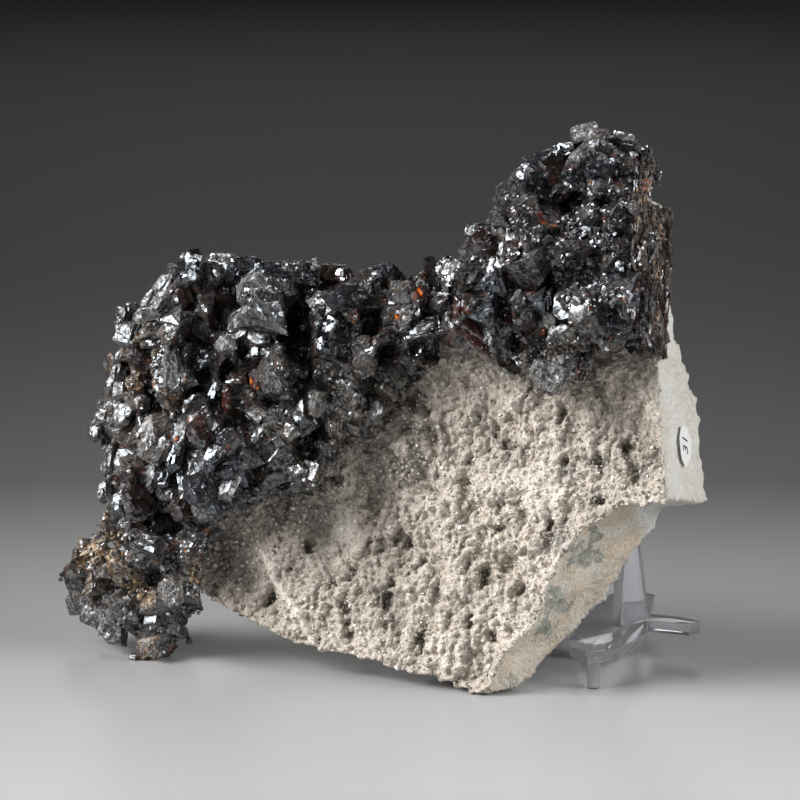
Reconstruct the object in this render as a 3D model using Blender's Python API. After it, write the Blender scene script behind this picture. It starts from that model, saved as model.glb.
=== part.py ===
"""Sphalerite specimen: dark crystals grown over a leaning slab of pale rock, propped on a clear stand.

Sizes are in millimetres until an object is finished, and MM turns them into metres. The slab has axes of
its own: u runs along it, v up it and n out of its front face. The stand uses plain X, Y and Z.
"""

import math
import random

import bmesh
import bpy
from mathutils import Matrix, Vector, noise

MM = 0.001

# How the slab stands: its lowest corner, how far it is turned to the left and how far it leans back
SLAB_CORNER = Vector((20, 0, 0))
TURN = math.radians(22)
LEAN = math.radians(18)
# The middle of the whole object's footprint, which becomes the origin
FOOTPRINT_CENTRE = Vector((-5.9, 33.7, 0))

ALONG = Vector((math.cos(TURN), -math.sin(TURN), 0))
UP = Vector((math.sin(TURN) * math.sin(LEAN), math.cos(TURN) * math.sin(LEAN), math.cos(LEAN)))
OUT = Vector((-math.sin(TURN) * math.cos(LEAN), -math.cos(TURN) * math.cos(LEAN), math.sin(LEAN)))

GAP = 0.35  # between pieces that touch
CRYSTAL_GAP = 0.5  # between the crystals and the slab that they grow on
FLOOR = 0.0

# The slab's outline, from its lowest corner anticlockwise: (u, v) at the front, (u, v, n) at the back
SLAB_OUTLINE = [
    ((0, 0), (6, 3, -7)),
    ((3, 10), (11, 14, -19)),
    ((10, 18), (16, 24, -25)),
    ((15, 35), (24, 37, -27)),
    ((21, 43), (28, 46, -28)),
    ((27, 48), (31, 52, -28)),
    ((39.5, 51), (41.5, 53, -27)),
    ((36, 72), (38.5, 73, -24)),
    ((34, 82), (36, 84, -18)),
    ((34, 90), (34.6, 91, -9)),
    ((34.8, 99), (33.4, 100, -6)),
    ((32.5, 119), (31.3, 120, -5)),
    ((26, 124), (25, 124, -5)),
    ((9, 122), (8, 122, -6)),
    ((-4, 111), (-4, 111, -8)),
    ((-22, 96), (-22, 97, -10)),
    ((-54, 93), (-53, 93, -13)),
    ((-84, 85), (-81, 85, -15)),
    ((-96, 69), (-92, 69, -16)),
    ((-95, 44), (-91, 46, -17)),
    ((-87, 25), (-84, 30, -18)),
    ((-76, 16), (-73, 22, -18)),
    ((-63, 11), (-61, 17, -18)),
    ((-49, 7), (-47, 14, -18)),
    ((-36, 6), (-34, 12, -17)),
    ((-15, 3), (-11, 8, -13)),
]
BACK_DEPTH = 28
FRONT_FACING = 0.95
BACK_FACING = -0.8
# The crystals' lower edge on the front face, as (u, v): the rock is bare below it
CRYSTAL_EDGE = [(-100, 42), (-76, 46), (-50, 48), (-24, 82), (40, 86)]
FACE_GRID = 3.7
SIDE_GRID = 9
BACK_GRID = 15
# How deep the relief is on each side of the slab, how wide its bumps are, and which layer of the noise
# each kind of bump reads
FACE_RELIEF = 1.8
FLUTE_SHARE = 1.1
FLUTE_SIZE = (5, 11)
FLUTE_LAYER = 0.3
BUMP_SHARE = 0.9
BUMP_SIZE = 17
BUMP_LAYER = 4.2
BROKEN_RELIEF = 0.9
BROKEN_SIZE = 9
BACK_RELIEF = 2.4
BACK_SIZE = 23
BACK_LAYER = 7.7
# Relief fades out toward an edge sharper than this, no steeper than this
SHARP_ANGLE = math.radians(12)
RIM_SLOPE = 0.42
# Hollows in the bare face: (u, v, radius, depth)
HOLLOWS = [
    (0, 31, 6, 4.2),
    (-10, 45, 4.5, 2.6),
    (16, 46, 3.5, 2.4),
    (-48, 34, 6.5, 3.2),
    (-11, 62, 5, 2.4),
    (-36, 44, 5, 2.0),
    (30, 55, 5, 2.0),
    (-66, 24, 6, 1.6),
    (10, 62, 5, 1.8),
    (-24, 18, 5, 1.6),
]

# Lumps of crystals: (u, v, n, outer radius, crystal width)
LUMPS = [
    # Left mass, from its top down
    (-84, 90, 6, 10, 12),
    (-96, 79, 3, 11, 11),
    (-101, 65, 1, 10.5, 11),
    (-99, 51, 1, 9.5, 10),
    (-66, 89, 8, 11, 12),
    (-76, 75, 9, 13, 13),
    (-58, 74, 8, 12, 12),
    (-78, 58, 9, 13, 13),
    (-58, 57, 8, 12, 11),
    (-84, 45, 7, 8, 10),
    (-52, 51, 5, 8, 9),
    (-68, 47, 7, 9, 11),
    # Middle ridge
    (-45, 90, 5, 10, 10),
    (-40, 79, 4, 10, 10),
    (-43, 67, 3, 9, 8),
    (-30, 91, 4, 10, 10),
    (-26, 84, 3, 8, 9),
    # Right mass, from its left end to the peak and down
    (-15, 98, 4, 9, 10),
    (-6, 105, 6, 10.5, 11),
    (-8, 91, 6, 10.5, 11),
    (3, 116, 5, 10, 11),
    (9, 107, 7, 12, 12),
    (11, 94, 7, 11, 10),
    (10, 83, 4, 9, 8),
    (14, 126, 4, 10, 11),
    (22, 114, 7, 11.5, 10),
    (21, 124, 3, 9, 10),
    (25, 103, 7, 12, 10),
    (26, 93, 7, 10.5, 9),
    # Lower left mass, down to its tip on the floor
    (-98, 38, 2, 9, 10),
    (-105, 20.5, -3, 9, 9),
    (-91, 27, 1, 11, 11),
    (-80, 28, 3, 8, 9),
    (-100, 14, -3, 9, 10),
    (-88, 14, -1, 9.5, 10),
    (-90, 6, -1, 6, 8),
]
# Large single crystals: (u, v, n, width, kind, spin in degrees)
LARGE_CRYSTALS = [
    (-69, 49, 14, 15, "tetrahedron", 20),
    (-86, 81, 13, 13, "blade", 65),
    (-87, 92, 11, 12, "tetrahedron", 10),
    (-64, 93, 12, 14, "blade", 15),
    (-48, 84, 11, 12, "tetrahedron", 40),
    (-41, 92, 9, 12, "blade", 30),
    (-12, 90, 12, 14, "blade", 55),
    (2, 111, 13, 12, "tetrahedron", 75),
    (14, 130, 7, 12, "tetrahedron", 5),
    (20, 92, 13, 13, "blade", 100),
    (-94, 40, 8, 12, "tetrahedron", 50),
    (-82, 16, 6, 11, "wedge", 15),
    (-89, 4, 0, 9, "tetrahedron", 25),
]
# The corners of single crystals, for a crystal one unit wide
TETRAHEDRON_LONG = 0.58
TETRAHEDRON_SHORT = 0.28
BLADE_SIDES = 6
BLADE_RINGS = [(-0.2, 0.58), (0.2, 0.44)]  # (height, radius)
WEDGE_FOOT = [(-0.5, -0.42, -0.45), (-0.5, 0.42, -0.45), (0.5, -0.42, -0.45), (0.5, 0.42, -0.45)]
WEDGE_EDGE = [(-0.34, 0, 0.5), (0.3, 0.05, 0.5)]
CRYSTAL_SEED = 34
CRYSTAL_TRIANGLES = 5900
FLAT_ANGLE = math.radians(0.5)
SPHERE_TURN = math.pi * (3 - math.sqrt(5))
CRYSTAL_TILT = math.radians(28)
CRYSTAL_SIZES = (0.8, 1.1)
CRYSTAL_STRETCH = (0.8, 1.2)
# How far below a lump's outer radius these lie, in crystal widths
BODY_SINK = 0.36
CRYSTAL_SINK = 0.28
BURIED_SINK = 0.4
# Crystals whose middles lie deeper in the slab than this are left out
SLAB_SINK = 2.5
# The right end of the crystals is a flat break: where it meets the front face, and which way it faces
BREAK_PLACE = (35.3, 98.0)
BREAK_FACING = (0.99, 0.11, 0.08)

# Clear stand: a plate with arms, raised on three feet, and a fin that the slab leans on
PLATE_BOTTOM = 6.4
PLATE_THICK = 3.0
PLATE_OUTLINE = [
    (42.5, 21.5), (40.6, 16.5), (41.2, 10.5), (45.8, 6), (51.5, 8.5), (57, 17), (60.3, 25.5),
    (61.5, 34.3), (71.5, 31.2), (74.3, 33.8), (69.3, 37.7), (62.5, 40.5), (65, 58), (61, 63),
    (55, 61), (47, 50), (22, 64), (15, 64), (13, 58), (17, 53), (43.5, 38),
]
FOOT_PLACES = [(46.4, 7.8), (60, 57), (19, 59)]
FOOT_RADIUS_TOP = 1.8
FOOT_RADIUS_BOTTOM = 1.4
FOOT_SIDES = 20
FIN_THICK = 3.0
FIN_FOOT = (52.9, 27.0)
FIN_HEADING = math.radians(45)
FIN_LENGTH = 11.3
FIN_KNEE = 26.0
FIN_TOP = 37.0
FIN_TOP_WIDE = 1.2
# Where the fin meets the slab's back, as (u, v), and how far around it the back is flat
REST_PLACE = (20, 44)
REST_RADIUS = 14

# Oval of paper on the slab's right face: the outline's side that it is on, and its place as a share of
# the way from front to back and from the low end to the high end
LABEL_WIDE = 7.4
LABEL_TALL = 10
LABEL_THICK = 0.4
LABEL_SIDES = 28
LABEL_FACE = 6
LABEL_PLACE = (0.55, 0.66)

# Each piece's colour, roughness and transmission
FINISHES = {
    "matrix": ((0.62, 0.57, 0.5), 0.9, 0.0),
    "sphalerite": ((0.035, 0.024, 0.02), 0.25, 0.0),
    "stand_base": ((0.9, 0.92, 0.95), 0.05, 1.0),
    "stand_fin": ((0.9, 0.92, 0.95), 0.05, 1.0),
    "label": ((0.85, 0.85, 0.82), 0.8, 0.0),
}


def on_slab(u, v, n=0.0):
    """The point at u along, v up and n out from the slab's lowest corner."""
    return SLAB_CORNER + ALONG * u + UP * v + OUT * n


def slab_coordinates(point):
    """The (u, v, n) of a point."""
    away = point - SLAB_CORNER
    return away.dot(ALONG), away.dot(UP), away.dot(OUT)


def material(name):
    colour, roughness, transmission = FINISHES[name]
    made = bpy.data.materials.new(name)
    made.use_nodes = True
    surface = made.node_tree.nodes["Principled BSDF"]
    surface.inputs["Base Color"].default_value = (*colour, 1)
    surface.inputs["Roughness"].default_value = roughness
    surface.inputs["Metallic"].default_value = 0.0
    surface.inputs["Transmission Weight"].default_value = transmission
    return made


def linked(name, shape):
    """An object in the scene with this bmesh as its mesh."""
    mesh = bpy.data.meshes.new(name)
    shape.to_mesh(mesh)
    shape.free()
    made = bpy.data.objects.new(name, mesh)
    bpy.context.scene.collection.objects.link(made)
    return made


def finish(name, shape):
    """Makes a piece of the model, in metres around the origin, from a bmesh in millimetres."""
    shape.transform(Matrix.Scale(MM, 4) @ Matrix.Translation(-FOOTPRINT_CENTRE))
    bmesh.ops.recalc_face_normals(shape, faces=shape.faces)
    made = linked(name, shape)
    made.data.materials.append(material(name))


def boolean(target, other, operation, use_self=False):
    """A bmesh of the target after a Boolean with the other object. Both objects are removed."""
    modifier = target.modifiers.new("join", "BOOLEAN")
    modifier.object = other
    modifier.operation = operation
    modifier.use_self = use_self
    bpy.context.view_layer.update()
    evaluated = target.evaluated_get(bpy.context.evaluated_depsgraph_get())
    result = bmesh.new()
    result.from_mesh(evaluated.to_mesh())
    evaluated.to_mesh_clear()
    for used in (target, other):
        bpy.data.objects.remove(used)
    return result


def cut(shape, point, normal):
    """Cuts off what lies beyond the plane, and closes the cut with a flat face."""
    everything = shape.verts[:] + shape.edges[:] + shape.faces[:]
    made = bmesh.ops.bisect_plane(
        shape, geom=everything, plane_co=point, plane_no=normal, clear_outer=True
    )
    edges = [e for e in made["geom_cut"] if isinstance(e, bmesh.types.BMEdge)]
    filled = bmesh.ops.holes_fill(shape, edges=edges, sides=0)
    bmesh.ops.triangulate(shape, faces=filled["faces"])


# The slab


def edge_height(u):
    """The v at which the crystals' lower edge crosses the front face at this u."""
    for (u0, v0), (u1, v1) in zip(CRYSTAL_EDGE, CRYSTAL_EDGE[1:]):
        if u <= u1:
            return v0 + (v1 - v0) * (u - u0) / (u1 - u0)
    return CRYSTAL_EDGE[-1][1]


def slab_block(grow=0.0):
    """The slab with flat faces, moved outward by grow."""
    shape = bmesh.new()
    front = [shape.verts.new(on_slab(u, v)) for (u, v), _ in SLAB_OUTLINE]
    back = [shape.verts.new(on_slab(*place)) for _, place in SLAB_OUTLINE]
    shape.faces.new(front)
    shape.faces.new(back[::-1])
    count = len(front)
    for i in range(count):
        j = (i + 1) % count
        shape.faces.new((front[j], front[i], back[i], back[j]))
    bmesh.ops.recalc_face_normals(shape, faces=shape.faces)
    shape.normal_update()
    for vertex, place in [(v, v.co + v.normal * grow) for v in shape.verts]:
        vertex.co = place
    return shape


def is_back(face):
    return face.normal.dot(OUT) < BACK_FACING


def is_bare(face):
    """True on the parts of the slab that no crystal covers: below the crystals, and not on the back."""
    u, v, n = slab_coordinates(face.calc_center_median())
    return v < edge_height(u) + FACE_GRID and not is_back(face)


def is_in_outline(u, v):
    """True if the slab has rock at this place on its front face."""
    corners = [front for front, _ in SLAB_OUTLINE]
    inside = False
    for (u0, v0), (u1, v1) in zip(corners, corners[1:] + corners[:1]):
        if (v0 > v) != (v1 > v) and u < u0 + (u1 - u0) * (v - v0) / (v1 - v0):
            inside = not inside
    return inside


def grid_cuts(shape, direction, low, high, step, chosen):
    """Cuts the chosen faces along planes a step apart."""
    for i in range(int((high - low) / step) + 1):
        faces = [f for f in shape.faces if chosen(f)]
        edges = {e for f in faces for e in f.edges}
        corners = {v for f in faces for v in f.verts}
        bmesh.ops.bisect_plane(
            shape,
            geom=[*corners, *edges, *faces],
            plane_co=SLAB_CORNER + direction * (low + i * step),
            plane_no=direction,
        )


def hollow_depth(u, v):
    """How deep the hollows are at this place on the front face."""
    depth = 0.0
    for centre_u, centre_v, radius, deepest in HOLLOWS:
        share = math.hypot(u - centre_u, v - centre_v) / radius
        if share < 1:
            depth = max(depth, deepest * (1 - share * share) ** 1.5)
    return depth


def relief_depth(u, v, n, facing):
    """How far inward the slab's surface lies here: grainy in front, broken at the sides and back."""
    if facing > FRONT_FACING:
        flutes = noise.noise(Vector((u / FLUTE_SIZE[0], v / FLUTE_SIZE[1], FLUTE_LAYER)))
        bumps = noise.noise(Vector((u / BUMP_SIZE, v / BUMP_SIZE, BUMP_LAYER)))
        swing = FLUTE_SHARE * flutes + BUMP_SHARE * bumps
        return FACE_RELIEF * (1 + swing) + hollow_depth(u, v)
    if facing < BACK_FACING:
        flat = min(1.0, math.hypot(u - REST_PLACE[0], v - REST_PLACE[1]) / REST_RADIUS)
        swell = noise.noise(Vector((u / BACK_SIZE, v / BACK_SIZE, BACK_LAYER)))
        return BACK_RELIEF * flat * (0.5 + 0.5 * swell)
    steps = noise.noise(Vector((u, v, n)) / BROKEN_SIZE)
    return BROKEN_RELIEF * (0.5 + 0.5 * steps)


def distance_to_edges(point, edges):
    """How far a point is from the nearest of some edges, each given as its two ends."""
    nearest = math.inf
    for start, end in edges:
        along = end - start
        share = min(1.0, max(0.0, (point - start).dot(along) / along.length_squared))
        nearest = min(nearest, (start + along * share - point).length)
    return nearest


def roughen(shape):
    """Moves the slab's points inward by its relief, less and less toward its sharp edges."""
    shape.normal_update()
    sharp = [e for e in shape.edges if e.calc_face_angle(0) > SHARP_ANGLE]
    sharp = [(e.verts[0].co.copy(), e.verts[1].co.copy()) for e in sharp]
    moves = []
    for vertex in shape.verts:
        u, v, n = slab_coordinates(vertex.co)
        depth = relief_depth(u, v, n, vertex.normal.dot(OUT))
        depth = min(depth, RIM_SLOPE * distance_to_edges(vertex.co, sharp))
        moves.append((vertex, vertex.co - vertex.normal * max(depth, 0.0)))
    for vertex, place in moves:
        vertex.co = place


def matrix_slab():
    us = [front[0] for front, _ in SLAB_OUTLINE]
    vs = [front[1] for front, _ in SLAB_OUTLINE]
    shape = slab_block()
    grid_cuts(shape, UP, FACE_GRID, CRYSTAL_EDGE[-1][1], FACE_GRID, is_bare)
    grid_cuts(shape, ALONG, min(us), max(us), FACE_GRID, is_bare)
    grid_cuts(shape, OUT, -2 * SIDE_GRID, -SIDE_GRID, SIDE_GRID, is_bare)
    grid_cuts(shape, UP, BACK_GRID, max(vs), BACK_GRID, is_back)
    grid_cuts(shape, ALONG, min(us) + BACK_GRID / 2, max(us), BACK_GRID, is_back)
    bmesh.ops.triangulate(shape, faces=shape.faces)
    roughen(shape)
    cut(shape, Vector((0, 0, FLOOR)), Vector((0, 0, -1)))
    finish("matrix", shape)


# The crystals


def tetrahedron_points():
    """The corners of a tetrahedron whose own corners are cut off."""
    corners = []
    for axis in range(3):
        for signs in ((1, 1, 1), (1, -1, -1), (-1, 1, -1), (-1, -1, 1)):
            corner = [TETRAHEDRON_SHORT] * 3
            corner[axis] = TETRAHEDRON_LONG
            corners.append(Vector([c * s for c, s in zip(corner, signs)]))
    return corners


def blade_points():
    """The corners of a six-sided plate that stands on edge."""
    corners = []
    for height, radius in BLADE_RINGS:
        for i in range(BLADE_SIDES):
            angle = 2 * math.pi * i / BLADE_SIDES
            corners.append(Vector((radius * math.cos(angle), height, radius * math.sin(angle))))
    return corners


def wedge_points():
    """The corners of a chisel: a four-sided foot that narrows to an edge."""
    return [Vector(corner) for corner in WEDGE_FOOT + WEDGE_EDGE]


CRYSTAL_KINDS = {
    "tetrahedron": tetrahedron_points,
    "blade": blade_points,
    "wedge": wedge_points,
}


def add_crystal(shape, kind, centre, facing, spin, width, stretch):
    """Adds one crystal as a closed hull. Its own Z points along facing."""
    turn = facing.to_track_quat("Z", "Y").to_matrix() @ Matrix.Rotation(spin, 3, "Z")
    corners = []
    for corner in CRYSTAL_KINDS[kind]():
        sized = Vector([c * s for c, s in zip(corner, stretch)]) * width
        corners.append(shape.verts.new(centre + turn @ sized))
    bmesh.ops.convex_hull(shape, input=corners)


def add_lump(shape, lump):
    """Adds the body of a lump, which the crystals hide."""
    u, v, n, radius, width = lump
    made = bmesh.ops.create_icosphere(shape, subdivisions=1, radius=radius - BODY_SINK * width)
    for vertex in made["verts"]:
        vertex.co = vertex.co + on_slab(u, v, n)


def is_buried(place, home):
    """True well inside another lump, or inside the slab."""
    for lump in LUMPS:
        if lump is home:
            continue
        u, v, n, radius, width = lump
        if (place - on_slab(u, v, n)).length < radius - BURIED_SINK * width:
            return True
    u, v, n = slab_coordinates(place)
    return n < -SLAB_SINK and is_in_outline(u, v)


def crystals_on_lump(shape, lump, draw):
    """Studs the open part of one lump with crystals."""
    u, v, n, radius, width = lump
    centre = on_slab(u, v, n)
    reach = radius - CRYSTAL_SINK * width
    count = round(4 * math.pi * (reach / width) ** 2)
    for i in range(count):
        height = 1 - (2 * i + 1) / count
        angle = SPHERE_TURN * i
        around = math.sqrt(1 - height * height)
        facing = Vector((around * math.cos(angle), around * math.sin(angle), height))
        size = width * draw.uniform(*CRYSTAL_SIZES)
        tilt = Matrix.Rotation(draw.uniform(-CRYSTAL_TILT, CRYSTAL_TILT), 3, "X")
        tilt = tilt @ Matrix.Rotation(draw.uniform(-CRYSTAL_TILT, CRYSTAL_TILT), 3, "Y")
        spin = draw.uniform(0, 2 * math.pi)
        kind = draw.choice(list(CRYSTAL_KINDS))
        stretch = [draw.uniform(*CRYSTAL_STRETCH) for _ in range(3)]
        place = centre + facing * reach
        if not is_buried(place, lump):
            add_crystal(shape, kind, place, tilt @ facing, spin, size, stretch)


def simplified(shape):
    """An object with this shape in fewer triangles: short edges go first, and flat faces stay flat."""
    bmesh.ops.dissolve_limit(shape, angle_limit=FLAT_ANGLE, verts=shape.verts, edges=shape.edges)
    bmesh.ops.triangulate(shape, faces=shape.faces)
    share = CRYSTAL_TRIANGLES / len(shape.faces)
    made = linked("growth", shape)
    made.modifiers.new("fewer", "DECIMATE").ratio = min(1.0, share)
    return made


def keep_largest_body(shape):
    """Deletes all but the body with the most faces."""
    left = set(shape.faces)
    bodies = []
    while left:
        first = left.pop()
        body, front = {first}, [first]
        while front:
            for edge in front.pop().edges:
                for face in edge.link_faces:
                    if face in left:
                        left.discard(face)
                        body.add(face)
                        front.append(face)
        bodies.append(body)
    largest = max(bodies, key=len)
    scraps = [f for body in bodies if body is not largest for f in body]
    bmesh.ops.delete(shape, geom=scraps, context="FACES")


def sphalerite_crystals():
    draw = random.Random(CRYSTAL_SEED)
    grown = bmesh.new()
    for lump in LUMPS[1:]:
        add_lump(grown, lump)
    for lump in LUMPS:
        crystals_on_lump(grown, lump, draw)
    for u, v, n, width, kind, spin in LARGE_CRYSTALS:
        add_crystal(grown, kind, on_slab(u, v, n), OUT, math.radians(spin), width, (1, 1, 1))
    first = bmesh.new()
    add_lump(first, LUMPS[0])
    joined = boolean(linked("first lump", first), linked("growth", grown), "UNION", use_self=True)
    bed = linked("bed", slab_block(grow=CRYSTAL_GAP))
    shape = boolean(simplified(joined), bed, "DIFFERENCE", use_self=True)
    along, up, out = BREAK_FACING
    cut(shape, on_slab(*BREAK_PLACE), ALONG * along + UP * up + OUT * out)
    cut(shape, Vector((0, 0, FLOOR)), Vector((0, 0, -1)))
    keep_largest_body(shape)
    finish("sphalerite", shape)


# The stand


def raised(shape, corners, direction):
    """Adds a solid to the bmesh: a flat face with these corners, raised by direction."""
    face = shape.faces.new([shape.verts.new(corner) for corner in corners])
    made = bmesh.ops.extrude_face_region(shape, geom=[face])
    moved = [g for g in made["geom"] if isinstance(g, bmesh.types.BMVert)]
    bmesh.ops.translate(shape, verts=moved, vec=direction)
    bmesh.ops.recalc_face_normals(shape, faces=shape.faces)


def foot_shape(x, y):
    """A round foot that tapers to the floor. Its upper end is inside the plate."""
    shape = bmesh.new()
    length = PLATE_BOTTOM + PLATE_THICK / 2
    bmesh.ops.create_cone(
        shape,
        cap_ends=True,
        segments=FOOT_SIDES,
        radius1=FOOT_RADIUS_BOTTOM,
        radius2=FOOT_RADIUS_TOP,
        depth=length,
        matrix=Matrix.Translation((x, y, length / 2)),
    )
    return shape


def stand_base():
    shape = bmesh.new()
    raised(shape, [(x, y, PLATE_BOTTOM) for x, y in PLATE_OUTLINE], (0, 0, PLATE_THICK))
    for x, y in FOOT_PLACES:
        shape = boolean(linked("plate", shape), linked("foot", foot_shape(x, y)), "UNION")
    finish("stand_base", shape)


def stand_fin():
    """An upright fin with its front edge along the slab's back, and its rear edge sloping in to the top."""
    heading = Vector((math.cos(FIN_HEADING), math.sin(FIN_HEADING), 0))
    side = Vector((-heading.y, heading.x, 0))
    bottom = PLATE_BOTTOM + PLATE_THICK + GAP

    def front_reach(height):
        """How far along the heading the slab's back lies at this height."""
        n = slab_coordinates(Vector((*FIN_FOOT, height)))[2]
        return (-BACK_DEPTH - GAP - n) / heading.dot(OUT)

    profile = [
        (0, bottom),
        (FIN_LENGTH, bottom),
        (front_reach(FIN_TOP) + FIN_TOP_WIDE, FIN_TOP),
        (front_reach(FIN_TOP), FIN_TOP),
        (front_reach(FIN_KNEE), FIN_KNEE),
    ]
    shape = bmesh.new()
    middle = [Vector((*FIN_FOOT, height)) + heading * reach for reach, height in profile]
    raised(shape, [corner - side * FIN_THICK / 2 for corner in middle], side * FIN_THICK)
    finish("stand_fin", shape)


def label():
    """A thin paper oval on the slab's broken right face."""
    (front_low, back_low), (front_high, back_high) = SLAB_OUTLINE[LABEL_FACE : LABEL_FACE + 2]
    across, height = LABEL_PLACE
    front = on_slab(*front_low).lerp(on_slab(*front_high), height)
    back = on_slab(*back_low).lerp(on_slab(*back_high), height)
    rise = (on_slab(*front_high) - on_slab(*front_low)).normalized()
    normal = (back - front).cross(rise).normalized()
    if normal.dot(ALONG) < 0:
        normal.negate()
    centre = front.lerp(back, across) + normal * (GAP + LABEL_THICK / 2)
    shape = bmesh.new()
    bmesh.ops.create_cone(
        shape,
        cap_ends=True,
        segments=LABEL_SIDES,
        radius1=0.5,
        radius2=0.5,
        depth=1,
        matrix=Matrix.Diagonal((LABEL_WIDE, LABEL_TALL, LABEL_THICK, 1)),
    )
    axes = Matrix((rise.cross(normal), rise, normal)).transposed()
    shape.transform(Matrix.Translation(centre) @ axes.to_4x4())
    finish("label", shape)


def main():
    for old in list(bpy.data.objects):
        bpy.data.objects.remove(old)
    matrix_slab()
    sphalerite_crystals()
    stand_base()
    stand_fin()
    label()


main()
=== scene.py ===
"""Looks of the sphalerite specimen: a leaning slab of pale rock with dark crystals over its top and left.

Sizes are in millimetres, and MM turns them into metres. A place on the slab is given as u along it, v up
it and n out of its front face. A place in the photograph is given in its pixels, from its upper left.
"""

import math
import random

import bpy
import numpy as np
from mathutils import Matrix, Quaternion, Vector, noise
from mathutils.bvhtree import BVHTree
from mathutils.kdtree import KDTree


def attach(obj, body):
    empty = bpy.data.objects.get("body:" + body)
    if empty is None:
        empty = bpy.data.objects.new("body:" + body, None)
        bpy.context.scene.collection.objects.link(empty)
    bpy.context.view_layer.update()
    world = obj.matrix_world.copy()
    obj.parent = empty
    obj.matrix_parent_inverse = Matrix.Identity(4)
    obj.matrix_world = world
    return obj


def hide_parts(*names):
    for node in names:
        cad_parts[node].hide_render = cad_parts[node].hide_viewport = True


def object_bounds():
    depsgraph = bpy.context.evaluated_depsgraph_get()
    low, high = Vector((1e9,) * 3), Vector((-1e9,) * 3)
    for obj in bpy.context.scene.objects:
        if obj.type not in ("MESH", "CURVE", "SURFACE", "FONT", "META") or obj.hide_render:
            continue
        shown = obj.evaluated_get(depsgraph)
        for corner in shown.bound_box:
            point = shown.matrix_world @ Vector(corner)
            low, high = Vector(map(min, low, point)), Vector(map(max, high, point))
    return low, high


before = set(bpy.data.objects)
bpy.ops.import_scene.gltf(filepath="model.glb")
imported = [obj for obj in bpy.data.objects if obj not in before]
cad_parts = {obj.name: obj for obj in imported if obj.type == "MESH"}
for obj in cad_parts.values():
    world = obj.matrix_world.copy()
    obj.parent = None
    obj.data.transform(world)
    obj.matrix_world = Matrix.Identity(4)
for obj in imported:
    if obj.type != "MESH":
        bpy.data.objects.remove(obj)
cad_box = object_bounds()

MM = 0.001
# Every random draw has a seed, so that each run gives the same specimen
SEEDS = {
    "warp": 3,
    "grains": 5,
    "grain places": 11,
    "placed by eye": 40,
    "crystals": 21,
    "groups": 2,
    "parents": 3,
    "druse": 6,
    "break": 8,
    "rim": 9,
}
noise.seed_set(SEEDS["warp"])

# The slab: its lowest corner, how far it is turned to the left and how far it leans back
SLAB_CORNER = Vector((25.9, -33.7, 0))
TURN = math.radians(22)
LEAN = math.radians(18)
ALONG = Vector((math.cos(TURN), -math.sin(TURN), 0))
UP = Vector((math.sin(TURN) * math.sin(LEAN), math.cos(TURN) * math.sin(LEAN), math.cos(LEAN)))
OUT = Vector((-math.sin(TURN) * math.cos(LEAN), -math.cos(TURN) * math.cos(LEAN), math.sin(LEAN)))
# The crystals' lower edge on the front face, as (u, v)
CRYSTAL_EDGE = [(-100, 42), (-76, 46), (-50, 48), (-24, 82), (40, 86)]

# The camera
PHOTO_SIDE = 800
AIM = Vector((5.5, -18.7, 69.7))
DISTANCE = 800
ELEVATION = math.radians(12)
LENS = 150
SENSOR = 36
# From the specimen to the camera, and up in the photograph
TOWARD = Vector((0, -math.cos(ELEVATION), math.sin(ELEVATION)))
SKYWARD = Vector((0, math.sin(ELEVATION), math.cos(ELEVATION)))

# The floor's width and depth and how far back its middle is, and where it begins and ends to turn from
# pale to grey behind the specimen, a painted falloff of the light, all in metres
FLOOR_SIZE = (8, 5)
FLOOR_BACK = 1.2
FLOOR_PAINTED_FALLOFF = (-0.1, 0.19)
FLOOR_PALE = (0.53, 0.53, 0.535)
FLOOR_PAINTED_SHADE_GREY = (0.088, 0.088, 0.089)
STUDIO_GREY = (0.021, 0.021, 0.022, 1)
# The lights: name, azimuth and elevation in degrees, distance, width and height in metres, power, spread
# in degrees, and the place they face in millimetres. Azimuth 0 is the camera's, and positive to its right
LIGHTS = [
    ("key", -82, 34, 0.9, 0.55, 0.55, 1.85, 50, Vector((0, -45, 60))),
    ("right", 74, 24, 0.9, 0.4, 0.5, 0.72, 50, Vector((0, -45, 60))),
    ("front", -25, 22, 1.6, 0.9, 0.7, 0.3, 60, AIM),
    ("behind", 180, 50, 1.3, 1.0, 0.5, 1.0, 70, Vector((0, 1100, 0))),
]
# The ways a crystal's face points where it mirrors the left and the right light
LEFT_GLINT = Vector((-0.524, -0.697, 0.489)).normalized()
RIGHT_GLINT = Vector((0.538, -0.754, 0.377)).normalized()

# The rock's mesh, which is finer on the front, up to this little above the crystals' edge
ROCK_VOXEL = 0.93
FINE_FACING = 0.6
FINE_MARGIN = 6
# How far a face points out of the slab where the broken side turns into the grainy front, with a ragged
# limit, and how far it points the other way where the side turns into the back
FRONT_FACING = (0.4, 0.75)
RAGGED_SIZE = 2.2
RAGGED_REACH = 0.3
BACK_FACING = (0.2, 0.7)
# The front's relief: clumps, the knobs and crumbs on them, and a long swell. A clump or knob has a random
# height, down to its least share, and is sunk by a share of its full height
CLUMP_SIZE = (2.7, 4.3)
CLUMP_HEIGHT = 2.1
CLUMP_LEAST = 0.25
CLUMP_SUNK = 0.35
KNOB_SIZE = 1.5
KNOB_HEIGHT = 1.35
KNOB_LEAST = 0.4
KNOB_SUNK = 0.3
CRUMB_SIZE = 0.95
CRUMB_HEIGHT = 0.45
SWELL_SIZE = 13
SWELL_HEIGHT = 1.5
# Some clumps are holes instead
HOLE_DEPTH = 1.2
HOLE_SHARE = 0.13
# The pattern is warped twice, as (size, reach), and calmer in some patches
WARPS = [(6, 1.6), (2, 0.5)]
CALM_SIZE = 15
CALM_SHIFT = Vector((9, 4, 2))
CALM_RANGE = (-0.3, 0.2)
CALM_LEAST = 0.35
# How steeply a dome falls off, and a factor that gives neighbouring cells unlike random numbers
DOME_FALL = 1.7
CELL_SPREAD = 31.7
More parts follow.
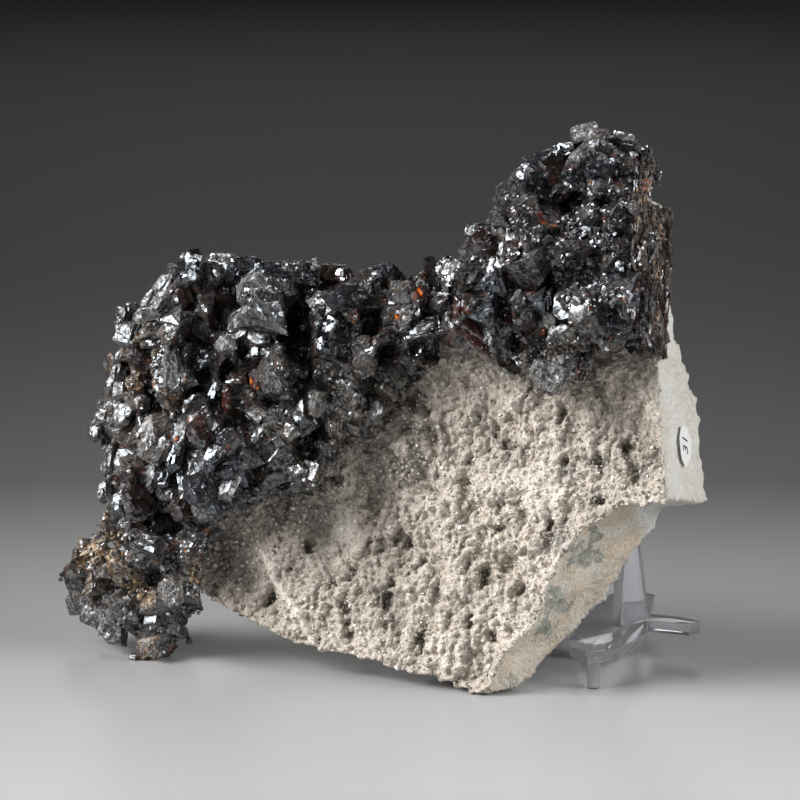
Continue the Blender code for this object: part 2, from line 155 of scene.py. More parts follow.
# Each relief made of domes has a layer of the random pattern to itself
CLUMP_LAYER = 1.7
KNOB_LAYER = 3.3
BACK_LAYER = 5.1
# The relief of the broken sides: rough breaks, streaks and chips. The back has broad domes and lumps too
BROKEN_SIZE = 8
BROKEN_HEIGHT = 0.55
BACK_SIZE = 14
BACK_HEIGHT = 1.2
LUMP_SIZE = 3
LUMP_HEIGHT = 0.6
STREAK_SIZE = (1.6, 1.6, 6)
STREAK_HEIGHT = 0.3
CHIP_SIZE = 1.1
CHIP_HEIGHT = 0.15
# The slab's edges waver, but not at its foot, between these heights, or near the label, between these
# distances from its middle
EDGE_WAVE = 6
EDGE_REACH = 0.9
FOOT_HEIGHTS = (12, 22)
LABEL_CLEARANCE = (4, 8)
# Above this v the broken side is chalky, and below it sugary
SUGAR_HEIGHTS = (50, 53)
SUGAR_SLOPE = 0.25
# How the height of the front's relief becomes the material's tone, with painted shade darkest in the
# hollows and the knobs palest
RELIEF_MIDDLE = 0.6
RELIEF_GAIN = 0.2
# What the rock's material reads from its points
ROCK_LOOKS = ("relief", "broken", "low", "green", "dark", "shade_and_dirt", "pale")
# Deep grooves and holes in the front face: (x, y, half width, half height) in the photograph, and lean
GROOVES = [
    (431, 428, 6, 36, -14),
    (446, 511, 6, 12, -8),
    (551, 522, 5, 10, 5),
    (561, 413, 4, 14, 8),
    (565, 461, 5, 10, 0),
    (500, 531, 6, 6, 0),
    (406, 541, 5, 12, 0),
    (309, 546, 9, 8, 30),
    (487, 574, 8, 17, 20),
    (388, 600, 6, 42, 8),
    (346, 618, 7, 32, -10),
    (419, 640, 7, 24, 12),
    (491, 636, 6, 7, 0),
    (270, 600, 6, 16, 20),
    (600, 500, 8, 5, -20),
    (630, 445, 7, 12, 10),
    (470, 620, 5, 12, 0),
    (520, 590, 6, 9, 25),
]
GROOVE_DEPTH = 2.8
# A groove's depth wavers about this share of it, over this size
GROOVE_SHARE = 0.7
GROOVE_RAGGED = 2
# A groove's floor ends and its side comes up between these shares of its half width
GROOVE_SIDES = (0.3, 1.2)
# Round spots in the photograph, as (x, y, reach): dark grey crystals, and painted shade with some dirt
# under the crystals, on the front face, grey-green patches on the lower right face, and pale patches on
# the front, smoother than the rest
DARK_SPOTS = [
    (508, 457, 8),
    (524, 448, 6),
    (566, 472, 9),
    (558, 540, 12),
    (592, 500, 9),
    (600, 462, 9),
    (640, 470, 7),
]
SHADE_AND_DIRT_SPOTS = [
    (400, 405, 40),
    (395, 470, 38),
    (425, 430, 20),
    (300, 515, 30),
    (232, 565, 36),
    (385, 590, 20),
]
GREEN_PATCHES = [(584, 556, 17), (556, 602, 18), (543, 628, 12), (598, 536, 9), (512, 682, 9)]
PALE_SPOTS = [(513, 476, 13), (533, 482, 14), (556, 488, 12), (347, 513, 11), (348, 533, 11)]
# A pale ridge across the front face, as (x, y) in the photograph, with its half width and its height
VEIN = [(262, 550), (272, 572), (292, 603), (308, 632), (321, 658)]
VEIN_REACH = 2.8
VEIN_HEIGHT = 0.9
# Pale places lose this share of the relief
PALE_CALM = 0.6
# The tiny crystals on the front face, up to this little above the crystals' edge, thin out in patches
GRAIN_SPACING = 1.1
GRAIN_SIZE = (0.35, 0.9)
GRAIN_STRETCH = (0.7, 1.2)
GRAIN_TONE = (0.62, 0.2)
GRAIN_TILT = 0.9
GRAIN_FACING = 0.75
GRAIN_MARGIN = 4
GRAIN_PATCHES = 6
GRAIN_LIMITS = (-0.6, 0.3)

# The larger crystals of the crust, turned alike in groups this far apart, and the ones that grow on each
GROUP_SPACING = 12
PARENT_SPACING = 3.8
PARENT_WIDTH = (4.0, 9.5)
PARENT_PROUD = (0.6, 2.4)
STRETCH = (0.75, 1.25)
OFFSPRING = (2, 6)
OFFSPRING_WIDTH = (0.15, 0.42)
OFFSPRING_PLACE = (0.7, 0.95)
OFFSPRING_FACING = -0.1
# The mean and spread of what is added to their parent's tone and to its dullness, which brings painted
# sheen
OFFSPRING_TONE = (0, 0.1)
OFFSPRING_DULL_AND_SHEEN = (0.05, 0.15)
# A larger crystal's tone comes from its group, from chance and from the redness of its region, up to a
# most, and its dullness, which brings painted sheen, spreads about its region's
GROUP_TONE = 0.3
OWN_TONE = 0.5
RED_TONE = 0.6
MOST_TONE = 0.97
DULL_AND_SHEEN_SPREAD = 0.22
# The shares of them that mirror the right light, and that are turned as their group is
RIGHT_GLINT_SHARE = 0.12
GROUP_SHARE = 0.6
# How much a crystal's turn wavers about its group's, its parent's and the solid's face
GROUP_WAVER = 0.06
OFFSPRING_WAVER = 0.035
FACE_WAVER = 0.35
GLINT_WAVER = 0.07
EYE_WAVER = 0.03
# A crystal placed one by one: its sizes as factors of its width, its height and the smaller of the two,
# how far it stands out of the solid, and where it is red or has a painted glint, and the room that it
# keeps around it
EYE_SIZES = (1.3, 1.2, 0.9)
EYE_PROUD = 3.0
EYE_FIERY_PROUD = 3.7
EYE_ROOM = 1.0
# The three smaller ones on its face: how far aside, how small, and how much farther out
EYE_ASIDE = 0.28
EYE_SHARE = (0.35, 0.6)
EYE_STEP = 0.2
# How far a crystal may reach out of the solid, in the lump at the lower left and where it is placed one
# by one, how deep it has to be rooted, and how far it may leave the box, as a share of the box's side
STAND_OUT = 2.9
LUMP_STAND_OUT = 1.6
FEATURE_REACH = 7.5
ROOT_DEPTH = 0.05
BOX_SLACK = 0.025
# A crystal needs this much room before its face, and this height above the floor
ROOM = 0.8
LIFT = 0.2
# A larger crystal grows where fewer than this many of six ways out are blocked, between these distances
OPEN_LIMIT = 4
OPEN_START = 0.3
OPEN_REACH = 7
# The finest crystals, in patches of this size
DRUSE_SPACING = 1.15
DRUSE_WIDTH = (0.5, 1.6)
DRUSE_PATCHES = 5
DRUSE_LIMITS = (0.15, 0.65)
DRUSE_TONE = 0.75
DRUSE_RED = 0.5
DRUSE_DULL_AND_SHEEN_SPREAD = 0.25
# The solid between the crystals: its mesh, its facets, and how much less dullness and painted sheen it
# has than they do
CRUST_VOXEL = 0.85
CRUST_DULL_AND_SHEEN = 0.55
FACET_SIZE = 2.2
FACET_HEIGHT = 0.55
FACET_SUNK = 0.75
FACET_TILT = 1.2
FACET_SPREAD = 17.3
# A facet's tone and how much it spreads, the tone of the fiery ones, which get painted glints, and how
# they become more common where the region is red. A facet that stands high has more dullness and painted
# sheen
FACET_TONE = 0.15
FACET_TONE_SPREAD = 0.4
FACET_FIERY_TONE = 0.95
FACET_FIERY = 0.88
FACET_RED = 0.4
FACET_DULL_AND_SHEEN = 0.5
# How a crystal's own coordinates are scaled for its streaks, which run along the second and third
STREAKS = (0.001, 0.00012, 0.00012)
# The pieces that the finer crystals are sorted into end at this u, and at this u and v
RIGHT_START = -20
LUMP_CORNER = (-50, 42)

# The flat break at the crystals' right end, as (u, v) on the front face, and the way it faces
BREAK_PLACE = (35.3, 98.0)
BREAK_FACING = (ALONG * 0.99 + UP * 0.11 + OUT * 0.08).normalized()
BREAK_POINT = SLAB_CORNER + ALONG * BREAK_PLACE[0] + UP * BREAK_PLACE[1]
# The solid's faces that belong to it point this much its way, and lie this near to it
BREAK_ALIKE = 0.95
BREAK_NEAR = 1.5
# Or they curl round to the front, and point at least this much toward the camera
BREAK_SEEN = 0.1
# Under the splinters it has upright streaks of this width, length and depth, raised by this share of
# their height, and this tone, dullness with painted sheen, and rust
BREAK_STREAK = (0.8, 5, 0.8)
BREAK_RAISED = 0.3
BREAK_HEIGHT = 0.5
BREAK_LOOK = (0.6, 0.25, 0.1)
# How much a crystal's reach past the break counts, and above which height
BREAK_WEIGHT = 12
BREAK_BOTTOM = 60
# Its splinters: how far apart, their thickness, width and length, and how much they waver
SPLINTER_SPACING = 1.2
SPLINTER_THICK = (0.5, 1.6)
SPLINTER_WIDE = (0.3, 1.0)
SPLINTER_LONG = (2.5, 8)
SPLINTER_WAVER = 0.09
SPLINTER_TONE = 0.5
SPLINTER_TONE_SPREAD = 0.35
SPLINTER_DULL_AND_SHEEN = 0.6
# They are rusty in patches of this size, where noise is above the limit, and some of those are fiery,
# with painted glints
RUST_PATCHES = 5
RUST_LIMIT = 0.25
SPLINTER_RUST = 0.5
SPLINTER_CLEAN = 0.06
FIERY_SHARE = 0.3
FIERY_TONE = 0.96
# They also cover the slab's end between these heights, down to this n, on faces that point along it
RIM_HEIGHTS = (87, 120)
RIM_DEPTH = -3.6
RIM_ALIKE = 0.6
# The break bulges by this much about this height, in layers of splinters
BULGE = 0.4
BULGE_MIDDLE = 124
BULGE_REACH = 6
BULGE_LAYERS = (0.0, 0.4, 0.8, 1.2)
# The left edge of the break, which is ragged, and the crystals' outline at the top right and the left,
# as (x, y) in the photograph
BREAK_EDGE = [(645, 150), (637, 180), (630, 215), (631, 300), (640, 330), (648, 350)]
BREAK_RAGGED = 2.5
TOP_RIGHT_EDGE = [(630, 120), (648, 150), (656, 172), (663, 195), (670, 215)]
LEFT_EDGE = [(114, 306), (112, 340), (107, 365), (105, 385), (96, 405), (86, 420), (86, 445)]

# The stand's rounded edges, and how sharp an edge has to be for that
EDGE_ROUND = 0.45
EDGE_SHARP = math.radians(25)
# The paper label, the waves in its outline as (height, count, start), and the number on it
LABEL_WIDE = 7.2
LABEL_TALL = 9.6
LABEL_THICK = 0.15
LABEL_SEAT = 0.4
LABEL_WAVES = ((0.05, 3, 1), (0.03, 7, 0))
NUMBER = "31"
NUMBER_SIZE = 4.6
NUMBER_THICK = 0.03
NUMBER_LIFT = 0.02
NUMBER_SLANT = 0.2

# How the crystals differ over the photograph: a place, its reach, and there the crystals' width factor,
# dullness with painted sheen, rust, redness, share of fine crystals and share that mirror the left light.
# The default look counts everywhere with its weight
DEFAULT_LOOK = (1.0, 0.1, 0.05, 0.0, 0.0, 0.2)
DEFAULT_WEIGHT = 0.35
# Small rusty spots at the lower left, as (x, y, reach), and their look
RUSTY_SPOTS = [
    (86, 557, 7), (95, 549, 7), (107, 559, 7), (117, 570, 7), (128, 578, 7),
    (138, 588, 7), (146, 598, 7), (114, 539, 6), (195, 572, 7),
]
RUSTY_LOOK = (0.5, 0.4, 3.0, 0.05, 0.5, 0.2)
REGIONS = [
    (145, 295, 42, 0.95, 0.85, 0.1, 0, 0, 0.7),
    (140, 355, 22, 0.6, 0.2, 0.7, 0.1, 0.6, 0.2),
    (190, 268, 22, 1.2, 0.6, 0, 0, -0.2, 0.9),
    (172, 368, 32, 1.25, 0.25, 0, 0.2, -0.3, 0.35),
    (207, 350, 18, 0.5, 0.1, 0, 0, 0.2, 0.05),
    (185, 295, 16, 1.3, 0.1, 0, 0.5, -0.3, 0),
    (270, 300, 38, 1.3, 0.35, 0, 0, -0.3, 0.2),
    (270, 390, 32, 0.9, 0.45, 0.05, 0.15, 0.2, 0.15),
    (222, 460, 32, 1.5, 0.2, 0, 0, -0.4, 0.5),
    (125, 430, 42, 0.95, 0.75, 0.1, 0.3, 0.1, 0.6),
    (165, 450, 30, 0.9, 0.55, 0.1, 0.35, 0.1, 0.6),
    (240, 310, 26, 1.1, 0.6, 0, 0, 0, 0.4),
    (235, 395, 22, 0.9, 0.15, 0.05, 0.4, 0, 0.25),
    (290, 465, 36, 0.7, 0.3, 0.1, 0, 0.5, 0.1),
    (355, 292, 24, 1.3, 0.05, 0, 0.1, -0.3, 0.2),
    (332, 325, 16, 0.9, 0, 0, 0, 0.1, 0.4),
    (350, 408, 42, 0.7, 0.8, 0.1, 0, 0.4, 0.3),
    (415, 300, 34, 0.9, 0.2, 0.1, 0.35, 0.1, 0.08),
    (390, 308, 14, 0.9, 0.1, 0.1, 0.3, 0.1, -0.3),
    (570, 245, 17, 0.5, 0.1, 0, 0.1, 0.7, 0),
    (500, 260, 46, 1, 0.3, 0, 0.25, -0.25, 0.1),
    (470, 325, 26, 1.3, 0.1, 0, 0.4, -0.3, 0.15),
    (605, 240, 42, 0.4, 0.1, 0, 0, 0.9, 0.02),
    (568, 152, 34, 1, 0.3, 0, 0.1, 0, 0.4),
    (620, 140, 26, 1.3, 0.5, 0.05, 0, -0.2, 0.2),
    (612, 316, 24, 0.8, 0.3, 0, 0, -0.2, 0.1),
    (555, 365, 36, 0.55, 0.45, 0.15, 0.35, 0.9, 0.1),
    (90, 560, 40, 0.6, 0.4, 0.12, 0.05, 0.5, 0.3),
    (160, 560, 36, 0.6, 0.25, 0.06, 0.15, 0.5, 0.35),
    *((*spot, *RUSTY_LOOK) for spot in RUSTY_SPOTS),
    (101, 517, 6, 0.5, 0.2, 3, 0.4, 0.5, 0.2),
    (161, 398, 6, 0.5, 0.2, 1.1, 0.4, 0.5, 0.2),
    (133, 386, 6, 0.5, 0.2, 1, 0.4, 0.5, 0.2),
    (120, 630, 40, 0.8, 0.6, 0.05, 0.1, 0.2, 0.2),
    (151, 658, 7, 0.8, 0.5, 4, 0.3, 0.2, 0.1),
    (165, 500, 34, 1.3, 0.05, 0.1, 0.1, -0.3, 0.4),
]
# Hollows between the crystals, pushed back and darkened with painted shade: (x, y, half width, half
# height) in the photograph. A hollow's floor ends and its side comes up between these shares of its half
# width
HOLLOWS = [
    (204, 360, 20, 26),
    (300, 350, 17, 62),
    (306, 445, 14, 26),
    (428, 350, 26, 14),
    (186, 300, 13, 12),
    (455, 300, 9, 22),
    (370, 318, 11, 26),
    (546, 308, 20, 12),
    (575, 204, 17, 14),
    (300, 500, 22, 12),
    (226, 372, 10, 14),
]
HOLLOW_SIDES = (0.55, 1.0)
HOLLOW_DEPTH = 5.0
# How much painted shade darkens the crust's tone in them
HOLLOW_PAINTED_SHADE = 0.7
# The looks of a crystal's material, and the kinds that the larger and the finest crystals are drawn from
CRYSTAL_LOOKS = ("tone", "dull_and_sheen", "rust")
LARGER_KINDS = [
    "tetrahedron", "pyramid", "prism", "prism", "blade", "cut 0", "cut 1", "cut 2", "cut 3", "cut 4",
]
FINEST_KINDS = ["chip", "cut 0", "cut 1", "cut 2"]
# The ways in which a crystal placed one by one faces, each with its tone, dullness with painted sheen,
# and rust
LOOKS = {
    "white": (LEFT_GLINT, 0.3, 0.0, 0.0),
    "grey": (LEFT_GLINT + Vector((0.28, 0, 0.1)), 0.4, 0.25, 0.0),
    "steel": (LEFT_GLINT + Vector((0.75, 0, -0.2)), 0.1, 0.05, 0.0),
    "silver": (LEFT_GLINT + Vector((0.15, 0, 0)), 0.3, 0.65, 0.0),
    "dull_and_sheen": (TOWARD, 0.5, 0.7, 0.04),
    "rusty": (TOWARD, 0.5, 0.65, 0.35),
    "brown": (RIGHT_GLINT + Vector((-0.3, 0, 0)), 0.73, 0.0, 0.0),
    "red": (TOWARD + Vector((0.2, 0, 0.2)), 0.86, 0.0, 0.0),
    # Tone 1 gives a red crystal with a painted orange glint of light inside it
    "amber_glint": (TOWARD, 1.0, 0.0, 0.0),
}
# Crystals placed one by one: (x, y) in the photograph, width and height in millimetres, roll in degrees,
# the look above, and the kind
FEATURES = [
    (186, 266, 6, 8, 15, "white", "prism"),
    (212, 272, 5, 6, -20, "grey", "prism"),
    (160, 294, 7, 12, 35, "silver", "prism"),
    (146, 318, 6, 9, 25, "silver", "blade"),
    (130, 336, 5, 7, 10, "silver", "cut 3"),
    (233, 312, 7, 13, 8, "silver", "prism"),
    (262, 338, 4.5, 5, 0, "silver", "cut 1"),
    (124, 318, 3, 7.5, 15, "grey", "blade"),
    (185, 295, 5.5, 5.5, 0, "brown", "prism"),
    (197, 324, 9, 6.5, 25, "grey", "pyramid"),
    (238, 277, 8, 7, -35, "steel", "pyramid"),
    (264, 306, 9, 12.5, 10, "grey", "pyramid"),
    (302, 277, 9, 3.5, 14, "steel", "blade"),
    (303, 288, 5.5, 5.5, 10, "steel", "cut 2"),
    (312, 296, 6, 6, -20, "steel", "prism"),
    (226, 260, 9.5, 4, 14, "grey", "blade"),
    (252, 265, 9, 3.5, 8, "steel", "blade"),
    (275, 270, 8, 3.5, 8, "steel", "blade"),
    (333, 273, 5, 5, 10, "brown", "cut 3"),
    (346, 276, 4, 4, 20, "brown", "prism"),
    (98, 418, 6, 6, 15, "silver", "cut 3"),
    (96, 431, 4, 5, 0, "grey", "prism"),
    (172, 366, 6.5, 15, -22, "silver", "pyramid"),
    (170, 362, 1.4, 12, -24, "white", "prism"),
    (178, 368, 1.2, 11, -20, "white", "prism"),
    (140, 352, 4, 4.5, 0, "brown", "prism"),
    (146, 345, 2, 2, 0, "rusty", "cut 1"),
    (150, 361, 1.2, 1.2, 0, "amber_glint", "cut 1"),
    (215, 392, 3.6, 5.5, 25, "white", "prism"),
    (254, 357, 3.6, 5, -10, "white", "prism"),
    (262, 350, 6.5, 8, 8, "grey", "prism"),
    (272, 378, 8, 8, -20, "dull_and_sheen", "prism"),
    (256, 383, 2.2, 3, 0, "amber_glint", "prism"),
    (228, 399, 2, 5, 5, "red", "prism"),
    (202, 420, 2.2, 2.4, 0, "red", "prism"),
    (201, 431, 4.5, 6, -15, "brown", "prism"),
    (150, 385, 4.5, 4.5, 10, "brown", "cut 1"),
    (192, 394, 3.6, 6.5, 10, "brown", "prism"),
    (178, 439, 1, 1.6, 10, "amber_glint", "prism"),
    (258, 364, 4, 4.5, 10, "brown", "cut 1"),
    (224, 297, 4, 5, 10, "brown", "cut 3"),
    (236, 462, 8, 11, 22, "steel", "pyramid"),
    (225, 484, 5.5, 7.5, 30, "silver", "prism"),
    (212, 454, 4, 8, 18, "white", "prism"),
    (245, 455, 5, 8, -25, "grey", "pyramid"),
    (141, 497, 7, 7, -20, "brown", "prism"),
    (118, 503, 4, 6, 12, "grey", "prism"),
    (104, 491, 3.4, 5, 0, "silver", "prism"),
    (120, 479, 2.2, 1.6, 0, "red", "prism"),
    (166, 472, 4.5, 7.5, 20, "white", "blade"),
    (175, 455, 4, 7, 10, "white", "prism"),
    (150, 404, 4, 9, 30, "white", "blade"),
    (150, 424, 5.5, 7, 5, "brown", "blade"),
    (126, 410, 5, 8, 20, "silver", "blade"),
    (112, 436, 6, 9, 0, "silver", "prism"),
    (116, 376, 4, 7, 15, "silver", "prism"),
    (128, 462, 6, 7, 15, "silver", "cut 2"),
    (150, 478, 5, 8, 20, "silver", "blade"),
    (182, 432, 3.4, 7, 10, "silver", "blade"),
    (205, 488, 8, 7, 0, "steel", "prism"),
    (170, 511, 6, 5, 10, "dull_and_sheen", "prism"),
    (186, 508, 6, 5.5, -15, "brown", "prism"),
    (203, 510, 6, 5, 10, "dull_and_sheen", "prism"),
    (219, 508, 6, 5, -10, "steel", "prism"),
    (234, 504, 5, 5, 20, "dull_and_sheen", "cut 1"),
    (192, 522, 4, 3.5, 20, "steel", "cut 2"),
    (350, 296, 8.5, 5, -15, "steel", "prism"),
    (376, 279, 6, 5, 10, "steel", "pyramid"),
    (388, 274, 6, 5, 10, "steel", "prism"),
    (330, 326, 5, 6, 12, "white", "cut 2"),
    (322, 345, 3, 4, -10, "white", "prism"),
    (421, 293, 2, 2.6, 0, "amber_glint", "prism"),
    (398, 317, 1.1, 1.2, 0, "amber_glint", "prism"),
    (424, 328, 7, 4, -15, "grey", "steps"),
    (464, 322, 7.5, 17, -18, "silver", "blade"),
    (485, 325, 5, 13, -30, "silver", "blade"),
    (469, 325, 4.2, 12, -24, "red", "blade"),
    (482, 350, 1.8, 3.4, -15, "amber_glint", "blade"),
    (505, 193, 7, 6, 5, "grey", "prism"),
    (532, 200, 8, 7, 25, "grey", "pyramid"),
    (519, 180, 7, 6.5, 20, "grey", "pyramid"),
    (533, 170, 7.5, 7, -20, "grey", "prism"),
    (547, 162, 6.5, 7, 40, "steel", "pyramid"),
    (541, 184, 8.5, 8.5, 10, "steel", "cut 2"),
    (557, 176, 8, 8, 50, "brown", "cut 3"),
    (500, 214, 6, 6, 10, "grey", "pyramid"),
    (518, 248, 6.5, 9, -15, "brown", "pyramid"),
    (540, 215, 1.2, 1.4, 10, "amber_glint", "prism"),
    (501, 285, 0.9, 0.9, 10, "amber_glint", "prism"),
    (590, 309, 0.9, 1.2, 10, "amber_glint", "prism"),
    (542, 333, 1.2, 1.8, 20, "amber_glint", "prism"),
    (576, 370, 1.5, 1.1, 20, "amber_glint", "prism"),
    (438, 291, 5, 6, 15, "steel", "prism"),
    (484, 245, 5.5, 5.5, 30, "brown", "cut 4"),
    (600, 169, 6.5, 4.5, -20, "steel", "cut 2"),
    (572, 178, 4, 3, 30, "steel", "pyramid"),
    (591, 213, 5, 4.5, -10, "grey", "prism"),
    (618, 266, 2.4, 2.6, 15, "white", "prism"),
    (612, 318, 11, 7.5, 5, "steel", "blade"),
    (556, 154, 4, 4, 30, "white", "prism"),
    (570, 150, 4, 5, -10, "white", "cut 1"),
    (585, 134, 5.5, 4.5, -10, "dull_and_sheen", "cut 3"),
    (625, 140, 8.5, 3.5, 25, "grey", "prism"),
    (497, 280, 6, 8, 15, "steel", "pyramid"),
    (490, 310, 5, 9, 30, "steel", "pyramid"),
    (530, 290, 3.5, 4, 10, "white", "blade"),
    (545, 300, 5, 8, 35, "steel", "pyramid"),
    (84, 600, 7, 7, -15, "dull_and_sheen", "cut 1"),
    (98, 616, 7, 6, 20, "dull_and_sheen", "cut 3"),
    (552, 374, 8, 7, 20, "dull_and_sheen", "cut 2"),
    (566, 362, 6, 6, -20, "dull_and_sheen", "cut 0"),
    (115, 632, 7, 5, 30, "dull_and_sheen", "prism"),
    (150, 645, 4.5, 5, 45, "rusty", "pyramid"),
    (172, 592, 5.5, 5.5, 10, "dull_and_sheen", "prism"),
    (150, 545, 5, 5, 20, "grey", "cut 3"),
    (165, 525, 4, 5, 0, "white", "steps"),
    (96, 585, 5, 6, 0, "rusty", "pyramid"),
]


def slab_coordinates(point):
    """The (u, v, n) in millimetres of a point in metres."""
    away = point / MM - SLAB_CORNER
    return away.dot(ALONG), away.dot(UP), away.dot(OUT)


def edge_height(u):
    """The v at which the crystals' lower edge crosses the front face at this u."""
    for (u0, v0), (u1, v1) in zip(CRYSTAL_EDGE, CRYSTAL_EDGE[1:]):
        if u <= u1:
            return v0 + (v1 - v0) * (u - u0) / (u1 - u0)
    return CRYSTAL_EDGE[-1][1]


def in_photo(point):
    """The pixel of the photograph at which a point in millimetres is seen."""
    away = point - AIM - TOWARD * DISTANCE
    scale = PHOTO_SIDE * LENS / SENSOR / -away.dot(TOWARD)
    return PHOTO_SIDE / 2 + away.x * scale, PHOTO_SIDE / 2 - away.dot(SKYWARD) * scale


def right_of(edge, point):
    """How far right of an edge in the photograph a point is seen, or minus infinity above or below it."""
    x, y = in_photo(point)
    for (x0, y0), (x1, y1) in zip(edge, edge[1:]):
        if y0 <= y <= y1:
            return x - x0 - (x1 - x0) * (y - y0) / (y1 - y0)
    return -math.inf


def clamped(value):
    return min(1.0, max(0.0, value))


def smooth_step(low, high, value):
    share = clamped((value - low) / (high - low))
    return share * share * (3 - 2 * share)


# Making and finishing pieces


def deselect():
    if bpy.context.object and bpy.context.object.mode != "OBJECT":
        bpy.ops.object.mode_set(mode="OBJECT")
    bpy.ops.object.select_all(action="DESELECT")


def activate(piece):
    deselect()
    piece.select_set(True)
    bpy.context.view_layer.objects.active = piece


def copy_of_node(node, name):
    """A copy of a solid with its loose triangles merged and its flat faces whole."""
    made = bpy.data.objects.new(name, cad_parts[node].data.copy())
    bpy.context.scene.collection.objects.link(made)
    made.data.materials.clear()
    activate(made)
    bpy.ops.object.mode_set(mode="EDIT")
    bpy.ops.mesh.select_all(action="SELECT")
    bpy.ops.mesh.remove_doubles(threshold=1e-6)
    bpy.ops.mesh.dissolve_limited(angle_limit=math.radians(0.3))
    bpy.ops.object.mode_set(mode="OBJECT")
    return made


def apply_modifier(piece, kind, **settings):
    activate(piece)
    modifier = piece.modifiers.new(kind.lower(), kind)
    for key, value in settings.items():
        setattr(modifier, key, value)
    bpy.ops.object.modifier_apply(modifier=modifier.name)


def move_points(mesh, places):
    """Moves each point of a mesh to its new place, and none of them below the floor."""
    for vertex, place in zip(mesh.vertices, places):
        place.z = max(place.z, 0.0)
        vertex.co = place


def set_looks(mesh, names, rows, own=None):
    """Gives each point of a mesh its looks, one to each column, and the place that its patterns read."""
    rows = np.array(rows)
    for column, name in enumerate(names):
        attribute = mesh.attributes.new(name, "FLOAT", "POINT")
        attribute.data.foreach_set("value", rows[:, column])
    if own is not None:
        attribute = mesh.attributes.new("own", "FLOAT_VECTOR", "POINT")
        attribute.data.foreach_set("vector", own.ravel())


def finish_piece(piece, material, stands_for=()):
    piece.data.materials.clear()
    piece.data.materials.append(material)
    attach(piece, "root")
    if stands_for:
        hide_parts(*stands_for)


# Materials


class Nodes:
    """Shorthand for building a material's nodes."""

    def __init__(self, name, **values):
        self.material = bpy.data.materials.new(name)
        self.material.use_nodes = True
        self.tree = self.material.node_tree
        self.shader = self.tree.nodes["Principled BSDF"]
        for key, value in values.items():
            self.shader.inputs[key.replace("_", " ")].default_value = value

    def add(self, kind, inputs=(), **settings):
        """A node. An input is a node's output, a number or, for a colour, its red, green and blue."""
        made = self.tree.nodes.new("ShaderNode" + kind)
        for key, value in settings.items():
            setattr(made, key, value)
        for key, value in dict(inputs).items():
            socket = made.inputs[key]
            if isinstance(value, bpy.types.NodeSocket):
                self.tree.links.new(value, socket)
            elif socket.type == "RGBA":
                socket.default_value = (*value, 1)
            else:
                socket.default_value = value
        return made

    def place(self):
        return self.add("TexCoord").outputs["Object"]

    def attribute(self, name, output="Fac"):
        return self.add("Attribute", attribute_name=name, attribute_type="GEOMETRY").outputs[output]

    def noise(self, size, vector=None, detail=3.0, roughness=0.5):
        """Noise from 0 to 1 whose features are about this size in millimetres."""
        inputs = {
            "Vector": vector or self.place(),
            "Scale": 1 / (size * MM),
            "Detail": detail,
            "Roughness": roughness,
        }
        return self.add("TexNoise", inputs).outputs["Fac"]

    def math(self, operation, first, second=0.5, clamp=False):
        return self.add("Math", {0: first, 1: second}, operation=operation, use_clamp=clamp).outputs[0]

    def vector(self, operation, first, inputs=()):
        return self.add("VectorMath", {0: first, **dict(inputs)}, operation=operation).outputs[0]

    def range(self, value, low, high, new_low=0.0, new_high=1.0):
        inputs = {
            "Value": value,
            "From Min": low,
            "From Max": high,
            "To Min": new_low,
            "To Max": new_high,
        }
        return self.add("MapRange", inputs).outputs["Result"]

    def patches(self, size, low, high, new_low=0.0, new_high=1.0, **settings):
        """Noise of this size, from one value where it is low to another where it is high."""
        return self.range(self.noise(size, **settings), low, high, new_low, new_high)

    def mix(self, share, first, second):
        return self.add("Mix", {0: share, 6: first, 7: second}, data_type="RGBA").outputs[2]

    def ramp(self, value, stops):
        made = self.add("ValToRGB", {"Fac": value})
        elements = made.color_ramp.elements
        while len(elements) < len(stops):
            elements.new(0.5)
        for element, (place, colour) in zip(elements, stops):
            element.position = place
            element.color = (*colour, 1)
        return made.outputs["Color"]

    def bands(self, vector, scale, distortion, direction):
        """Sharp-edged steps across a crystal."""
        inputs = {
            "Vector": vector,
            "Scale": scale,
            "Distortion": distortion,
            "Detail": 2.0,
            "Detail Scale": 0.5,
        }
        return self.add("TexWave", inputs, bands_direction=direction, wave_profile="SAW").outputs["Fac"]

    def bump(self, height, depth, normal=None, strength=1.0):
        """Bumps this many millimetres deep."""
        inputs = {"Height": height, "Distance": depth * MM, "Strength": strength}
        if normal:
            inputs["Normal"] = normal
        return self.add("Bump", inputs).outputs["Normal"]

    def tilt_cells(self, share, size, tilt):
        """A lean for each of this share of tiny cells, at an angle of its own, and the cells' mask."""
        cells = self.add("TexVoronoi", {"Vector": self.place(), "Scale": 1 / (size * MM)})
        chance = cells.outputs["Color"]
        spread = self.vector("SUBTRACT", chance, {1: (0.5, 0.5, 0.5)})
        red = self.add("SeparateColor", {"Color": chance}).outputs["Red"]
        mask = self.math("LESS_THAN", red, share)
        return self.vector("SCALE", spread, {"Scale": self.math("MULTIPLY", mask, tilt)}), mask

    def set(self, socket, value):
        self.tree.links.new(value, self.shader.inputs[socket])

    def set_normal(self, normal, *leans):
        """The surface's normal, with leans added to it."""
        for lean in leans:
            normal = self.vector("ADD", normal, {1: lean})
        self.set("Normal", self.vector("NORMALIZE", normal))


